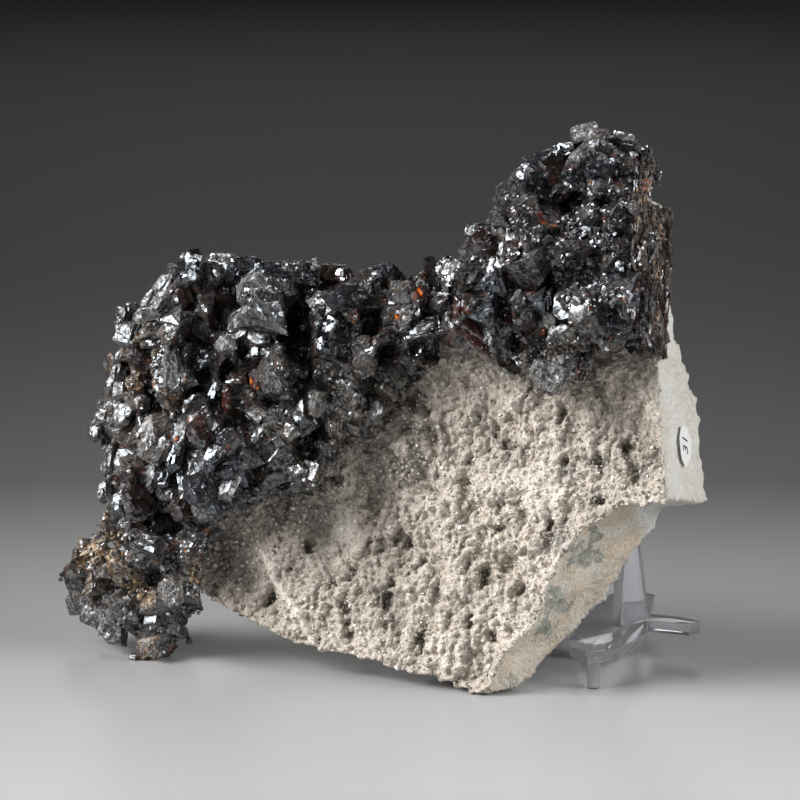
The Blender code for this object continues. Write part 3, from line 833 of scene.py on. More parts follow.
def rock_material():
    """Pale beige rock: cream knobs, grey-brown hollows darkened further with painted shade, a chalky
    right side and a sugary lower right side.
    """
    n = Nodes("pale_rock", Roughness=0.75)
    relief, broken, low, green, dark, shade_and_dirt, pale = (n.attribute(name) for name in ROCK_LOOKS)
    patches = n.noise(9, detail=4)
    fine = n.noise(1.3, detail=4)
    grains = n.noise(0.5, detail=2)
    # The grainy front, from its hollows, darkened with painted shade, to its knobs
    level = n.math("ADD", relief, n.range(fine, 0.3, 0.7, -0.2, 0.2))
    front = n.ramp(
        level,
        [
            (0.0, (0.022, 0.018, 0.014)),
            (0.24, (0.085, 0.07, 0.055)),
            (0.38, (0.5, 0.43, 0.36)),
            (0.9, (0.78, 0.705, 0.615)),
        ],
    )
    front = n.mix(n.range(patches, 0.42, 0.62, 0.0, 0.4), front, (0.4, 0.355, 0.3))
    # Dark crystals sprinkled in it, painted shade with some dirt under the crystals, painted shade of
    # small pits, and pale places
    speckled = n.math("MULTIPLY", dark, n.range(fine, 0.4, 0.5))
    front = n.mix(speckled, front, (0.09, 0.092, 0.095))
    shade_and_dirt_level = n.math("ADD", shade_and_dirt, n.range(patches, 0.35, 0.65, -0.35, 0.25))
    front = n.mix(n.range(shade_and_dirt_level, 0.2, 1.0, 0.0, 0.75), front, (0.11, 0.096, 0.078))
    # Painted shade of small pits, where the noise is low
    front = n.mix(n.patches(0.8, 0.31, 0.39, 0.85, 0.0), front, (0.075, 0.062, 0.048))
    front = n.mix(n.math("MULTIPLY", pale, 0.75), front, (0.84, 0.77, 0.69))
    # The chalky upper right side
    chalk = n.mix(n.patches(14, 0.4, 0.6, detail=4), (0.76, 0.76, 0.72), (0.66, 0.63, 0.56))
    chalk = n.mix(n.range(fine, 0.52, 0.68, 0.0, 0.5), chalk, (0.84, 0.85, 0.83))
    # The sugary lower right side, with its grey-green patches
    sugar = n.mix(n.patches(8, 0.42, 0.6, detail=4), (0.57, 0.47, 0.36), (0.62, 0.57, 0.49))
    leaf = n.mix(n.patches(4, 0.42, 0.62, detail=4), (0.21, 0.22, 0.185), (0.42, 0.42, 0.36))
    edge = n.math("ADD", green, n.patches(3, 0.3, 0.7, -0.45, 0.45, detail=5))
    sugar = n.mix(n.range(edge, 0.42, 0.6), sugar, leaf)
    colour = n.mix(broken, front, n.mix(low, chalk, sugar))
    colour = n.mix(n.range(grains, 0.35, 0.65, 0.0, 0.25), colour, (0.78, 0.72, 0.63))
    n.set("Base Color", colour)
    # Glinting flecks, most of all on the front
    tilt, fleck = n.tilt_cells(0.3, 0.5, n.range(broken, 0, 1, 1.3, 0.5))
    n.set("Roughness", n.range(fleck, 0, 1, 0.85, 0.28))
    height = n.math("ADD", grains, n.math("MULTIPLY", fine, 1.5))
    n.set_normal(n.bump(height, 0.45), tilt)
    return n.material


def grain_material():
    """Tiny glassy crystals on the rock's face."""
    n = Nodes("rock_grain", Roughness=0.25)
    colour = n.ramp(
        n.attribute("tone"),
        [
            (0.0, (0.2, 0.18, 0.16)),
            (0.4, (0.5, 0.44, 0.38)),
            (0.8, (0.72, 0.66, 0.58)),
            (1.0, (0.85, 0.82, 0.78)),
        ],
    )
    n.set("Base Color", colour)
    return n.material


def crystal_material():
    """Near-black sphalerite, red in places, with painted glints of light inside it, grey that is partly
    painted sheen, growth lines, and tan veins where it is rusty.
    """
    # The reflections are tinted blue: a painted colour of the light
    n = Nodes("sphalerite_crystal", IOR=2.2, Specular_Tint=(0.86, 0.93, 1, 1))
    own = n.attribute("own", "Vector")
    tone, dull_and_sheen, rust = (n.attribute(name) for name in CRYSTAL_LOOKS)
    body = n.ramp(
        n.math("ADD", tone, n.patches(2.6, 0.3, 0.7, -0.15, 0.1)),
        [
            (0.0, (0.006, 0.007, 0.01)),
            (0.55, (0.015, 0.011, 0.01)),
            (0.8, (0.032, 0.012, 0.008)),
            (1.0, (0.07, 0.013, 0.005)),
        ],
    )
    # Red inside the brightest ones, partly their own colour and partly painted glow, and painted orange
    # glints of light reflected inside them
    flame = n.noise(1.5, detail=2)
    glow = n.math("MULTIPLY", n.range(tone, 0.75, 1.0), n.range(flame, 0.42, 0.6), clamp=True)
    body = n.mix(glow, body, (0.085, 0.014, 0.005))
    painted_glint = n.math("MULTIPLY", n.range(tone, 0.88, 1.0), n.range(flame, 0.58, 0.66), clamp=True)
    body = n.mix(painted_glint, body, (0.7, 0.17, 0.014))
    # Where dullness is high, crystals are mottled and streaked with grey, partly their own colour and
    # partly painted sheen of the light
    streaks = n.noise(0.45, n.vector("MULTIPLY", own, {1: STREAKS}), detail=3, roughness=0.6)
    mottle = n.math("MULTIPLY", n.math("ADD", streaks, n.noise(0.5, detail=3)), 0.5)
    grey = n.ramp(
        mottle,
        [
            (0.4, (0.013, 0.011, 0.01)),
            (0.5, (0.115, 0.101, 0.09)),
            (0.59, (0.64, 0.61, 0.57)),
        ],
    )
    greyed_with_sheen = n.mix(n.math("MULTIPLY", dull_and_sheen, 0.75), body, grey)
    # Tan and orange veins of crumbs, and brown patches, where it is rusty
    off_vein = n.math("ABSOLUTE", n.math("SUBTRACT", n.noise(4.0, detail=5, roughness=0.7), 0.5))
    stain = n.math("MULTIPLY", rust, n.range(off_vein, 0.02, 0.09, 1.5, 0.0))
    stain = n.math("MULTIPLY", stain, n.patches(0.9, 0.42, 0.6), clamp=True)
    tan = n.mix(n.patches(2.2, 0.42, 0.6), (0.68, 0.56, 0.39), (0.5, 0.25, 0.07))
    colour = n.mix(stain, greyed_with_sheen, tan)
    brown = n.math("MULTIPLY", rust, n.patches(3, 0.5, 0.65), clamp=True)
    n.set("Base Color", n.mix(brown, colour, (0.11, 0.06, 0.03)))
    rough = n.patches(1.1, 0.35, 0.65, 0.12, 0.34, detail=4)
    rough = n.math("ADD", rough, n.math("MULTIPLY", dull_and_sheen, 0.25))
    n.set("Roughness", n.math("ADD", rough, n.math("MULTIPLY", stain, 0.4)))
    n.set("Specular IOR Level", n.patches(1.3, 0.38, 0.56, 0.12, 0.58, detail=5, roughness=0.6))
    # Growth steps and finer lines across each crystal, and faces that aren't quite flat
    steps = n.math("MULTIPLY", n.bands(own, 0.27, 2.0, "DIAGONAL"), n.patches(5, 0.42, 0.6, detail=1))
    lines = n.math("MULTIPLY", n.bands(own, 0.6, 1.5, "X"), n.patches(3, 0.35, 0.65))
    normal = n.bump(steps, 0.22, strength=0.8)
    normal = n.bump(lines, 0.13, normal, strength=0.8)
    normal = n.bump(n.noise(3.2, detail=2), 0.35, normal, strength=0.7)
    # Patches of minute crystals, each tilted its own way, and a mosaic of larger ones that hardly lean
    minute, _ = n.tilt_cells(1, 0.75, 1)
    druse = n.math("ADD", n.noise(6, detail=2), n.math("MULTIPLY", dull_and_sheen, 0.2))
    minute = n.vector("SCALE", minute, {"Scale": n.range(druse, 0.56, 0.68, 0.0, 0.8)})
    mosaic, _ = n.tilt_cells(1, 1.8, 0.3)
    n.set_normal(normal, minute, mosaic)
    return n.material


def acrylic_material():
    # Part of the light is scattered as by a pale diffuse surface: painted brightness in place of the
    # light that clear plastic carries from around it
    n = Nodes("clear_acrylic", IOR=1.45, Transmission_Weight=0.88, Base_Color=(0.96, 0.965, 1, 1))
    n.set("Roughness", n.patches(3, 0.4, 0.7, 0.01, 0.06))
    return n.material


def paper_material():
    n = Nodes("white_paper", Base_Color=(0.82, 0.82, 0.8, 1))
    n.set("Roughness", n.patches(0.6, 0.3, 0.7, 0.75, 0.9))
    n.set("Normal", n.bump(n.noise(0.4), 0.02))
    return n.material


def ink_material():
    return Nodes("black_ink", Base_Color=(0.015, 0.015, 0.03, 1), Roughness=0.6).material


# The rock


def domes(a, b, layer):
    """Rounded knobs, one to each cell of a random pattern, and a random number for the cell."""
    distances, points = noise.voronoi(Vector((a, b, layer)))
    return max(0.0, 1 - DOME_FALL * distances[0] ** 2), abs(noise.cell(points[0] * CELL_SPREAD))


def front_relief(u, v):
    """Height of the grainy front face above the solid's, in millimetres."""
    place = Vector((u, v, 0))
    warp = Vector()
    for size, reach in WARPS:
        warp += noise.noise_vector(place / size) * reach
    a, b = u + warp.x, v + warp.y
    clump, chance = domes(a / CLUMP_SIZE[0], b / CLUMP_SIZE[1], CLUMP_LAYER)
    knob, share = domes(a / KNOB_SIZE, b / KNOB_SIZE, KNOB_LAYER)
    lively = smooth_step(*CALM_RANGE, noise.noise(place / CALM_SIZE + CALM_SHIFT))
    calm = CALM_LEAST + (1 - CALM_LEAST) * lively
    height = calm * CLUMP_HEIGHT * (clump * (CLUMP_LEAST + (1 - CLUMP_LEAST) * chance) - CLUMP_SUNK)
    knob = knob * (KNOB_LEAST + (1 - KNOB_LEAST) * share) - KNOB_SUNK
    height += KNOB_HEIGHT * knob + SWELL_HEIGHT * noise.noise(place / SWELL_SIZE)
    if chance < HOLE_SHARE:
        height -= HOLE_DEPTH * clump
    return height + CRUMB_HEIGHT * noise.noise(place / CRUMB_SIZE)


def broken_relief(place, u, v, behind):
    """Height of the broken sides above the solid's in millimetres, and of the back where behind is 1."""
    height = BROKEN_HEIGHT * (1 + behind) * noise.fractal(place / BROKEN_SIZE, 1.0, 2.2, 5)
    height += BACK_HEIGHT * behind * domes(u / BACK_SIZE, v / BACK_SIZE, BACK_LAYER)[0]
    height += LUMP_HEIGHT * behind * noise.fractal(place / LUMP_SIZE, 1.0, 2.0, 3)
    streak = noise.noise(Vector([a / size for a, size in zip(place, STREAK_SIZE)]))
    height += STREAK_HEIGHT * streak + CHIP_HEIGHT * noise.noise(place / CHIP_SIZE)
    return height


def spot_share(x, y, spots):
    """How far a pixel lies in one of the round spots, from 0 to 1."""
    return max(math.exp(-((x - a) ** 2 + (y - b) ** 2) / reach**2) for a, b, reach in spots)


def vein_share(x, y):
    """How far a pixel of the photograph lies in the pale vein, from 0 to 1."""
    nearest = math.inf
    for (x0, y0), (x1, y1) in zip(VEIN, VEIN[1:]):
        along = ((x - x0) * (x1 - x0) + (y - y0) * (y1 - y0)) / ((x1 - x0) ** 2 + (y1 - y0) ** 2)
        along = clamped(along)
        nearest = min(nearest, math.hypot(x - x0 - along * (x1 - x0), y - y0 - along * (y1 - y0)))
    return math.exp(-((nearest / VEIN_REACH) ** 2))


def groove_depth(x, y):
    """How deep the front face is cut at a pixel of the photograph, from 0 to 1."""
    deepest = 0.0
    for centre_x, centre_y, half_width, half_height, lean in GROOVES:
        turn = math.radians(lean)
        across = (x - centre_x) * math.cos(turn) + (y - centre_y) * math.sin(turn)
        along = (y - centre_y) * math.cos(turn) - (x - centre_x) * math.sin(turn)
        off = math.hypot(across / half_width, along / half_height)
        deepest = max(deepest, 1 - smooth_step(*GROOVE_SIDES, off))
    return deepest


def make_rock(label_centre):
    rock = copy_of_node("matrix", "rock")
    apply_modifier(rock, "REMESH", mode="VOXEL", voxel_size=ROCK_VOXEL * MM, adaptivity=0.0)
    mesh = rock.data
    chosen = []
    for face in mesh.polygons:
        u, v, _ = slab_coordinates(face.center)
        chosen.append(face.normal.dot(OUT) > FINE_FACING and v < edge_height(u) + FINE_MARGIN)
    mesh.polygons.foreach_set("select", chosen)
    bpy.context.tool_settings.mesh_select_mode = (False, False, True)
    activate(rock)
    bpy.ops.object.mode_set(mode="EDIT")
    bpy.ops.mesh.subdivide(number_cuts=1)
    bpy.ops.object.mode_set(mode="OBJECT")
    looks, moves = [], []
    for vertex in mesh.vertices:
        place = vertex.co / MM
        u, v, n = slab_coordinates(vertex.co)
        x, y = in_photo(place)
        facing = vertex.normal.dot(OUT)
        front = smooth_step(*FRONT_FACING, facing + RAGGED_REACH * noise.noise(place / RAGGED_SIZE))
        behind = smooth_step(*BACK_FACING, -facing)
        vein = vein_share(x, y)
        pale = max(vein, spot_share(x, y, PALE_SPOTS))
        height = 0.0
        if front:
            uneven = GROOVE_SHARE + noise.noise(place / GROOVE_RAGGED)
            height = front_relief(u, v) - GROOVE_DEPTH * groove_depth(x, y) * uneven
            height = height * (1 - PALE_CALM * pale) + VEIN_HEIGHT * vein
        flat = smooth_step(*LABEL_CLEARANCE, (place - label_centre).length)
        shift = front * height + (1 - front) * broken_relief(place, u, v, behind) * flat
        wave = noise.noise_vector(place / EDGE_WAVE) * EDGE_REACH * flat
        wave = wave * smooth_step(*FOOT_HEIGHTS, place.z)
        moves.append(vertex.co + (vertex.normal * shift + wave) * MM)
        low = 1 - max(smooth_step(*SUGAR_HEIGHTS, v - SUGAR_SLOPE * n), behind)
        shares = [spot_share(x, y, spots) for spots in (GREEN_PATCHES, DARK_SPOTS, SHADE_AND_DIRT_SPOTS)]
        looks.append((RELIEF_MIDDLE + RELIEF_GAIN * height, 1 - front, low, *shares, pale))
    move_points(mesh, moves)
    set_looks(mesh, ROCK_LOOKS, looks)
    mesh.shade_smooth()
    finish_piece(rock, rock_material(), ["matrix"])
    return rock


# Crystals that are copied


def bisect(place, direction):
    """Cuts off what lies beyond a plane of the mesh in edit mode, and closes the cut."""
    bpy.ops.mesh.select_all(action="SELECT")
    bpy.ops.mesh.bisect(plane_co=place, plane_no=direction, use_fill=True, clear_outer=True)


def cut_side(angle, rise, reach):
    """Cuts a crystal flat on one side, this far from its middle."""
    turn = math.radians(angle)
    direction = Vector((math.cos(turn), math.sin(turn), rise)).normalized()
    bisect(direction * reach, direction)


def step_faces(thickness, depth):
    """Raises a step on each face."""
    bpy.ops.mesh.select_all(action="SELECT")
    bpy.ops.mesh.inset(thickness=thickness, depth=depth, use_individual=True)


def template(start, shape=None, **sizes):
    """The points and faces of a crystal about one unit wide: a primitive that is shaped in edit mode."""
    deselect()
    start(**sizes)
    made = bpy.context.object
    bpy.ops.object.mode_set(mode="EDIT")
    if shape:
        shape()
    bpy.ops.mesh.select_all(action="SELECT")
    bpy.ops.mesh.quads_convert_to_tris()
    bpy.ops.object.mode_set(mode="OBJECT")
    points = np.array([v.co for v in made.data.vertices])
    faces = np.array([list(f.vertices) for f in made.data.polygons])
    bpy.data.objects.remove(made)
    return points, faces


def cone(shape=None, **sizes):
    return template(bpy.ops.mesh.primitive_cone_add, shape, **sizes)


def cube(shape=None, scale=(1, 1, 1)):
    return template(bpy.ops.mesh.primitive_cube_add, shape, size=1, scale=scale)


def cut_stone(seed):
    """A crystal with eight faces at random angles cut into it."""

    def shape():
        draw = random.Random(seed)
        for _ in range(8):
            direction = Vector([draw.gauss(0, 1) for _ in range(3)]).normalized()
            bisect(direction * draw.uniform(0.34, 0.5), direction)

    return cube(shape)


def tetrahedron():
    """A tetrahedron with cut corners and a raised step on each face."""

    def shape():
        for angle in (90, 210, 330):
            cut_side(angle, -0.35, 0.4)
        step_faces(0.06, 0.03)

    return cone(shape, vertices=3, radius1=0.72, radius2=0.1, depth=0.95)


def blade():
    """A six-sided plate with sloping edges and a lower step on its face."""

    def shape():
        bisect(Vector((0.3, 0, 0)), Vector((0.9, 0.2, 0.3)))
        step_faces(0.05, 0.02)

    return cone(shape, vertices=6, radius1=0.56, radius2=0.44, depth=0.24)


def pyramid():
    """A low three-sided pyramid on each face of a tetrahedron, as sphalerite often grows."""

    def shape():
        bpy.ops.mesh.select_all(action="SELECT")
        bpy.ops.mesh.poke(offset=0.09)
        for angle, reach in ((30, 0.36), (150, 0.42), (275, 0.38)):
            cut_side(angle, 0.15, reach)

    return cone(shape, vertices=3, radius1=0.7, radius2=0.12, depth=0.85)


def prism():
    """A six-sided crystal with one broad flat face and sloping sides."""

    def shape():
        bisect(Vector((0.28, 0.1, 0)), Vector((0.9, 0.25, 0.35)))
        bisect(Vector((-0.3, 0, 0.1)), Vector((-0.9, -0.15, 0.5)))

    return cone(shape, vertices=6, radius1=0.58, radius2=0.4, depth=0.5)


def terraces():
    """A flat crystal that grew in three terraces, each smaller and a little to one side."""

    def shape():
        for size, shift, height in ((0.74, 0.09, 0.2), (0.48, 0.15, 0.29)):
            place = (shift, shift * 0.6, height)
            bpy.ops.mesh.primitive_cube_add(size=1, scale=(size, size * 1.1, 0.3), location=place)

    return cube(shape, (1, 1, 0.34))


def rhomb():
    return cube(scale=(1, 0.85, 0.7))


def crystal_kinds():
    """The points and faces of each kind of crystal that is copied over the crust."""
    kinds = {
        "tetrahedron": tetrahedron(),
        "blade": blade(),
        "pyramid": pyramid(),
        "prism": prism(),
        "steps": terraces(),
        "chip": cone(vertices=3, radius1=0.7, radius2=0.16, depth=0.85),
        "rhomb": rhomb(),
    }
    for seed in range(5):
        kinds[f"cut {seed}"] = cut_stone(seed)
    return kinds


def corner_of(corner, turn, sizes):
    """Where a crystal's corner lies from its middle, once it has its sizes and its turn."""
    return turn @ Vector([c * s for c, s in zip(corner, sizes)])


def copies(name, kinds, entries):
    """One piece with a copy of a crystal at each entry: (kind, place, turn, sizes, tone, dull, rust)."""
    points, faces, own, looks = [], [], [], []
    offset = 0
    for kind, place, turn, sizes, *look in entries:
        corners, sides = kinds[kind]
        local = corners * np.array(sizes)
        points.append((local @ np.array(turn).T + np.array(place)) * MM)
        own.append(local)
        faces.append(sides + offset)
        looks.append(np.repeat([look], len(corners), axis=0))
        offset += len(corners)
    points, faces = np.concatenate(points), np.concatenate(faces)
    points[:, 2] = np.maximum(points[:, 2], 0)
    mesh = bpy.data.meshes.new(name)
    mesh.vertices.add(len(points))
    mesh.vertices.foreach_set("co", points.ravel())
    mesh.loops.add(faces.size)
    mesh.loops.foreach_set("vertex_index", faces.ravel())
    mesh.polygons.add(len(faces))
    mesh.polygons.foreach_set("loop_start", np.arange(0, faces.size, 3))
    mesh.update(calc_edges=True)
    mesh.shade_flat()
    made = bpy.data.objects.new(name, mesh)
    bpy.context.scene.collection.objects.link(made)
    set_looks(mesh, CRYSTAL_LOOKS, np.concatenate(looks), np.concatenate(own))
    return made


def scattered(mesh, spacing, seed, accept):
    """Random places on a mesh, no two closer than spacing, with their normals."""
    mesh.calc_loop_triangles()
    count = len(mesh.loop_triangles)
    corners = np.empty(count * 3, int)
    mesh.loop_triangles.foreach_get("vertices", corners)
    co = np.empty(len(mesh.vertices) * 3)
    mesh.vertices.foreach_get("co", co)
    a, b, c = (co.reshape(-1, 3)[corners.reshape(-1, 3)[:, i]] / MM for i in range(3))
    cross = np.cross(b - a, c - a)
    doubled = np.linalg.norm(cross, axis=1)
    rng = np.random.default_rng(SEEDS[seed])
    tries = int(doubled.sum() / 2 / spacing**2 * 3)
    picked = rng.choice(count, tries, p=doubled / doubled.sum())
    r, s = rng.random(tries), rng.random(tries)
    flip = r + s > 1
    r[flip], s[flip] = 1 - r[flip], 1 - s[flip]
    places = a[picked] + (b - a)[picked] * r[:, None] + (c - a)[picked] * s[:, None]
    normals = cross[picked] / doubled[picked][:, None]
    taken, found = {}, []
    for place, normal in zip(places, normals):
        if not accept(Vector(place), Vector(normal)):
            continue
        cell = tuple(np.floor(place / spacing).astype(int))
        near = (
            other
            for i in (-1, 0, 1)
            for j in (-1, 0, 1)
            for k in (-1, 0, 1)
            for other in taken.get((cell[0] + i, cell[1] + j, cell[2] + k), ())
        )
        if all(((place - other) ** 2).sum() > spacing**2 for other in near):
            taken.setdefault(cell, []).append(place)
            found.append((Vector(place), Vector(normal)))
    return found


def three_sizes(width, spread, draw):
    return [width * draw.uniform(*spread) for _ in range(3)]


def make_grains(rock, solid):
    """Thousands of tiny crystals on the rock's bare face."""
    draw = random.Random(SEEDS["grains"])

    def accept(place, _):
        if noise.noise(place / GRAIN_PATCHES) < draw.uniform(*GRAIN_LIMITS):
            return False
        u, v, _ = slab_coordinates(place * MM)
        _, facing, _, _ = solid.find_nearest(place * MM)
        return facing.dot(OUT) > GRAIN_FACING and v < edge_height(u) + GRAIN_MARGIN

    entries = []
    for place, normal in scattered(rock.data, GRAIN_SPACING, "grain places", accept):
        size = draw.uniform(*GRAIN_SIZE)
        tilt = Matrix.Rotation(draw.uniform(-GRAIN_TILT, GRAIN_TILT), 3, "X")
        tilt = tilt @ Matrix.Rotation(draw.uniform(0, 6.3), 3, "Z")
        sizes = three_sizes(size, GRAIN_STRETCH, draw)
        tone = clamped(draw.gauss(*GRAIN_TONE))
        turn = normal.to_track_quat("Z", "Y").to_matrix() @ tilt
        entries.append(("rhomb", place, turn, sizes, tone, 0, 0))
    made = copies("rock_grains", {"rhomb": rhomb()}, entries)
    finish_piece(made, grain_material())


# The crust of crystals


def look_at(point):
    """Width factor, dullness with painted sheen, rust, redness, druse and shine at a point, from the
    regions' looks.
    """
    x, y = in_photo(point)
    look, total = [value * DEFAULT_WEIGHT for value in DEFAULT_LOOK], DEFAULT_WEIGHT
    for centre_x, centre_y, reach, *values in REGIONS:
        weight = math.exp(-((x - centre_x) ** 2 + (y - centre_y) ** 2) / reach**2)
        total += weight
        look = [sum_so_far + weight * value for sum_so_far, value in zip(look, values)]
    return [value / total for value in look]


def random_turn(draw):
    return Quaternion([draw.gauss(0, 1) for _ in range(4)]).normalized()


def wobbled(turn, amount, draw):
    return Quaternion((1, *[draw.gauss(0, amount) for _ in range(3)])).normalized() @ turn


def axes_turn(across, up, out):
    """The turn of a crystal whose own axes lie along these."""
    return Matrix((across, up, out)).transposed().to_quaternion()


def hollowness(point):
    """How far a point lies in one of the dark hollows, from 0 to 1."""
    x, y = in_photo(point)
    deepest = 0.0
    for centre_x, centre_y, half_width, half_height in HOLLOWS:
        off = math.hypot((x - centre_x) / half_width, (y - centre_y) / half_height)
        deepest = max(deepest, 1 - smooth_step(*HOLLOW_SIDES, off))
    return deepest


def facing_turn(shape, direction, draw):
    """A turn that points one of the crystal's larger faces in a direction, give or take a little."""
    points, faces = shape
    sides = []
    for a, b, c in points[faces]:
        sides.append(Vector(b - a).cross(Vector(c - a)))
    sides.sort(key=lambda side: -side.length)
    side = draw.choice(sides[: max(2, len(sides) // 4)]).normalized()
    spin = Quaternion(direction, draw.uniform(0, 2 * math.pi))
    return wobbled(spin @ side.rotation_difference(direction), GLINT_WAVER, draw)


def set_in(shape, place, turn, sizes, normal, proud):
    """Where a crystal's middle goes so that it stands this far out of the surface."""
    top = max(normal.dot(corner_of(corner, turn, sizes)) for corner in shape[0])
    return place + normal * (proud - top)


def outside(point):
    """True beyond the crystals' outline in the photograph, or too far out of the solids' box."""
    if -math.inf < right_of(LEFT_EDGE, point) < 0:
        return True
    if point.z > BREAK_BOTTOM and right_of(TOP_RIGHT_EDGE, point) > 0:
        return True
    for value, low, high in zip(point * MM, *cad_box):
        if not low - BOX_SLACK * (high - low) < value < high + BOX_SLACK * (high - low):
            return True
    return False


def reaches(entry, kinds, solid):
    """How far a crystal reaches out of the solid, counting for more past the break, and into it."""
    kind, place, turn, sizes, *_ = entry
    farthest, deepest = 0.0, 0.0
    for corner in kinds[kind][0]:
        point = place + corner_of(corner, turn, sizes)
        if outside(point):
            return math.inf, 0.0
        near, normal, _, distance = solid.find_nearest(point * MM)
        if (point * MM - near).dot(normal) > 0:
            farthest = max(farthest, distance / MM)
        else:
            deepest = max(deepest, distance / MM)
        if point.z > BREAK_BOTTOM:
            farthest = max(farthest, BREAK_WEIGHT * (point - BREAK_POINT).dot(BREAK_FACING))
    return farthest, deepest


def well_set(family, limit, root, kinds, solid):
    """The crystals of a family that stand out less than the limit, or none where its first is loose."""
    reached = [reaches(entry, kinds, solid) for entry in family]
    if reached[0][0] >= limit or reached[0][1] <= root:
        return []
    return [entry for entry, (far, _) in zip(family, reached) if far < limit]


def seen_at(x, y, solid):
    """The place on the crust's solid, in millimetres, at a pixel of the photograph or nearest to it."""
    camera = AIM + TOWARD * DISTANCE
    scale = SENSOR / LENS / PHOTO_SIDE
    ray = -TOWARD + Vector((1, 0, 0)) * (x - PHOTO_SIDE / 2) * scale
    ray = (ray - SKYWARD * (y - PHOTO_SIDE / 2) * scale).normalized()
    hit, _, _, _ = solid.ray_cast(camera * MM, ray)
    if hit is None:
        spots = [camera + ray * (DISTANCE + step) for step in range(-45, 46, 3)]
        spot = min(spots, key=lambda point: solid.find_nearest(point * MM)[3])
        near, _, _, _ = solid.find_nearest(spot * MM)
        hit = near.lerp(spot * MM, 0.5)
    return hit / MM


def placed_by_eye(solid, kinds):
    """The crystals that the photograph shows one by one, and the places that they take up."""
    draw = random.Random(SEEDS["placed by eye"])
    families, claimed = [], []
    for x, y, width, height, roll, look, kind in FEATURES:
        hit = seen_at(x, y, solid)
        facing, *tones = LOOKS[look]
        proud = EYE_FIERY_PROUD if look in ("red", "amber_glint") else EYE_PROUD
        facing = (facing + Vector([draw.gauss(0, EYE_WAVER) for _ in range(3)])).normalized()
        up = SKYWARD - facing * SKYWARD.dot(facing)
        turn = axes_turn(up.cross(facing), up, facing).normalized()
        turn = Quaternion(facing, math.radians(-roll)) @ turn
        sides = (width, height, min(width, height))
        sizes = [side * factor for side, factor in zip(sides, EYE_SIZES)]
        family = [(kind, set_in(kinds[kind], hit, turn, sizes, TOWARD, proud), turn, sizes, *tones)]
        for _ in range(3):
            aside = Vector([draw.uniform(-EYE_ASIDE, EYE_ASIDE) * side for side in sides[:2]] + [0])
            share = draw.uniform(*EYE_SHARE)
            small = [s * share for s in sizes]
            spot = set_in(kinds[kind], hit + turn @ aside, turn, small, TOWARD, proud + EYE_STEP)
            family.append((kind, spot, wobbled(turn, EYE_WAVER, draw), small, *tones))
        families.append(family)
        claimed.append((hit, max(width, height) / 2 + EYE_ROOM))
    return families, claimed


def with_offspring(entry, kinds, outward, draw):
    """A crystal and the smaller ones that grow on it, turned as it is."""
    kind, place, turn, sizes, tone, dull_and_sheen, rust = entry
    corners, faces = kinds[kind]
    made = [entry]
    for _ in range(draw.randint(*OFFSPRING)):
        corner = Vector(corners[draw.choice(draw.choice(faces.tolist()))])
        spot = corner_of(corner * draw.uniform(*OFFSPRING_PLACE), turn, sizes)
        if spot.normalized().dot(outward) < OFFSPRING_FACING:
            continue
        share = draw.uniform(*OFFSPRING_WIDTH)
        turned = wobbled(turn, OFFSPRING_WAVER, draw)
        child_tone = clamped(tone + draw.gauss(*OFFSPRING_TONE))
        child_dull_and_sheen = clamped(dull_and_sheen + draw.gauss(*OFFSPRING_DULL_AND_SHEEN))
        small = [side * share for side in sizes]
        made.append((kind, place + spot, turned, small, child_tone, child_dull_and_sheen, rust))
    return made


def is_open(point, outward, solid):
    """True where most of the way out is clear."""
    side = outward.orthogonal().normalized()
    blocked = 0
    for i in range(6):
        direction = Quaternion(outward, i * math.pi / 3) @ (outward + side).normalized()
        if solid.ray_cast((point + direction * OPEN_START) * MM, direction, OPEN_REACH * MM)[0]:
            blocked += 1
    return blocked < OPEN_LIMIT


def in_lump(point):
    """True in the lump of crystals at the lower left."""
    u, v, _ = slab_coordinates(point * MM)
    return u < LUMP_CORNER[0] and v < LUMP_CORNER[1]


def breaks_here(point):
    """True on the broken right end of the crust, which curls a little round to the front."""
    return right_of(BREAK_EDGE, point) > BREAK_RAGGED * noise.noise(point / 3)


def on_break(place, normal):
    """True on the solid's faces that make up the broken right end."""
    off = abs((place - BREAK_POINT).dot(BREAK_FACING))
    if normal.dot(BREAK_FACING) > BREAK_ALIKE and off < BREAK_NEAR:
        return True
    return breaks_here(place) and normal.dot(TOWARD) > BREAK_SEEN


def on_rim(place, normal):
    """True on the slab's own end beside the break."""
    _, v, n = slab_coordinates(place * MM)
    return normal.dot(ALONG) > RIM_ALIKE and RIM_HEIGHTS[0] < v < RIM_HEIGHTS[1] and n > RIM_DEPTH


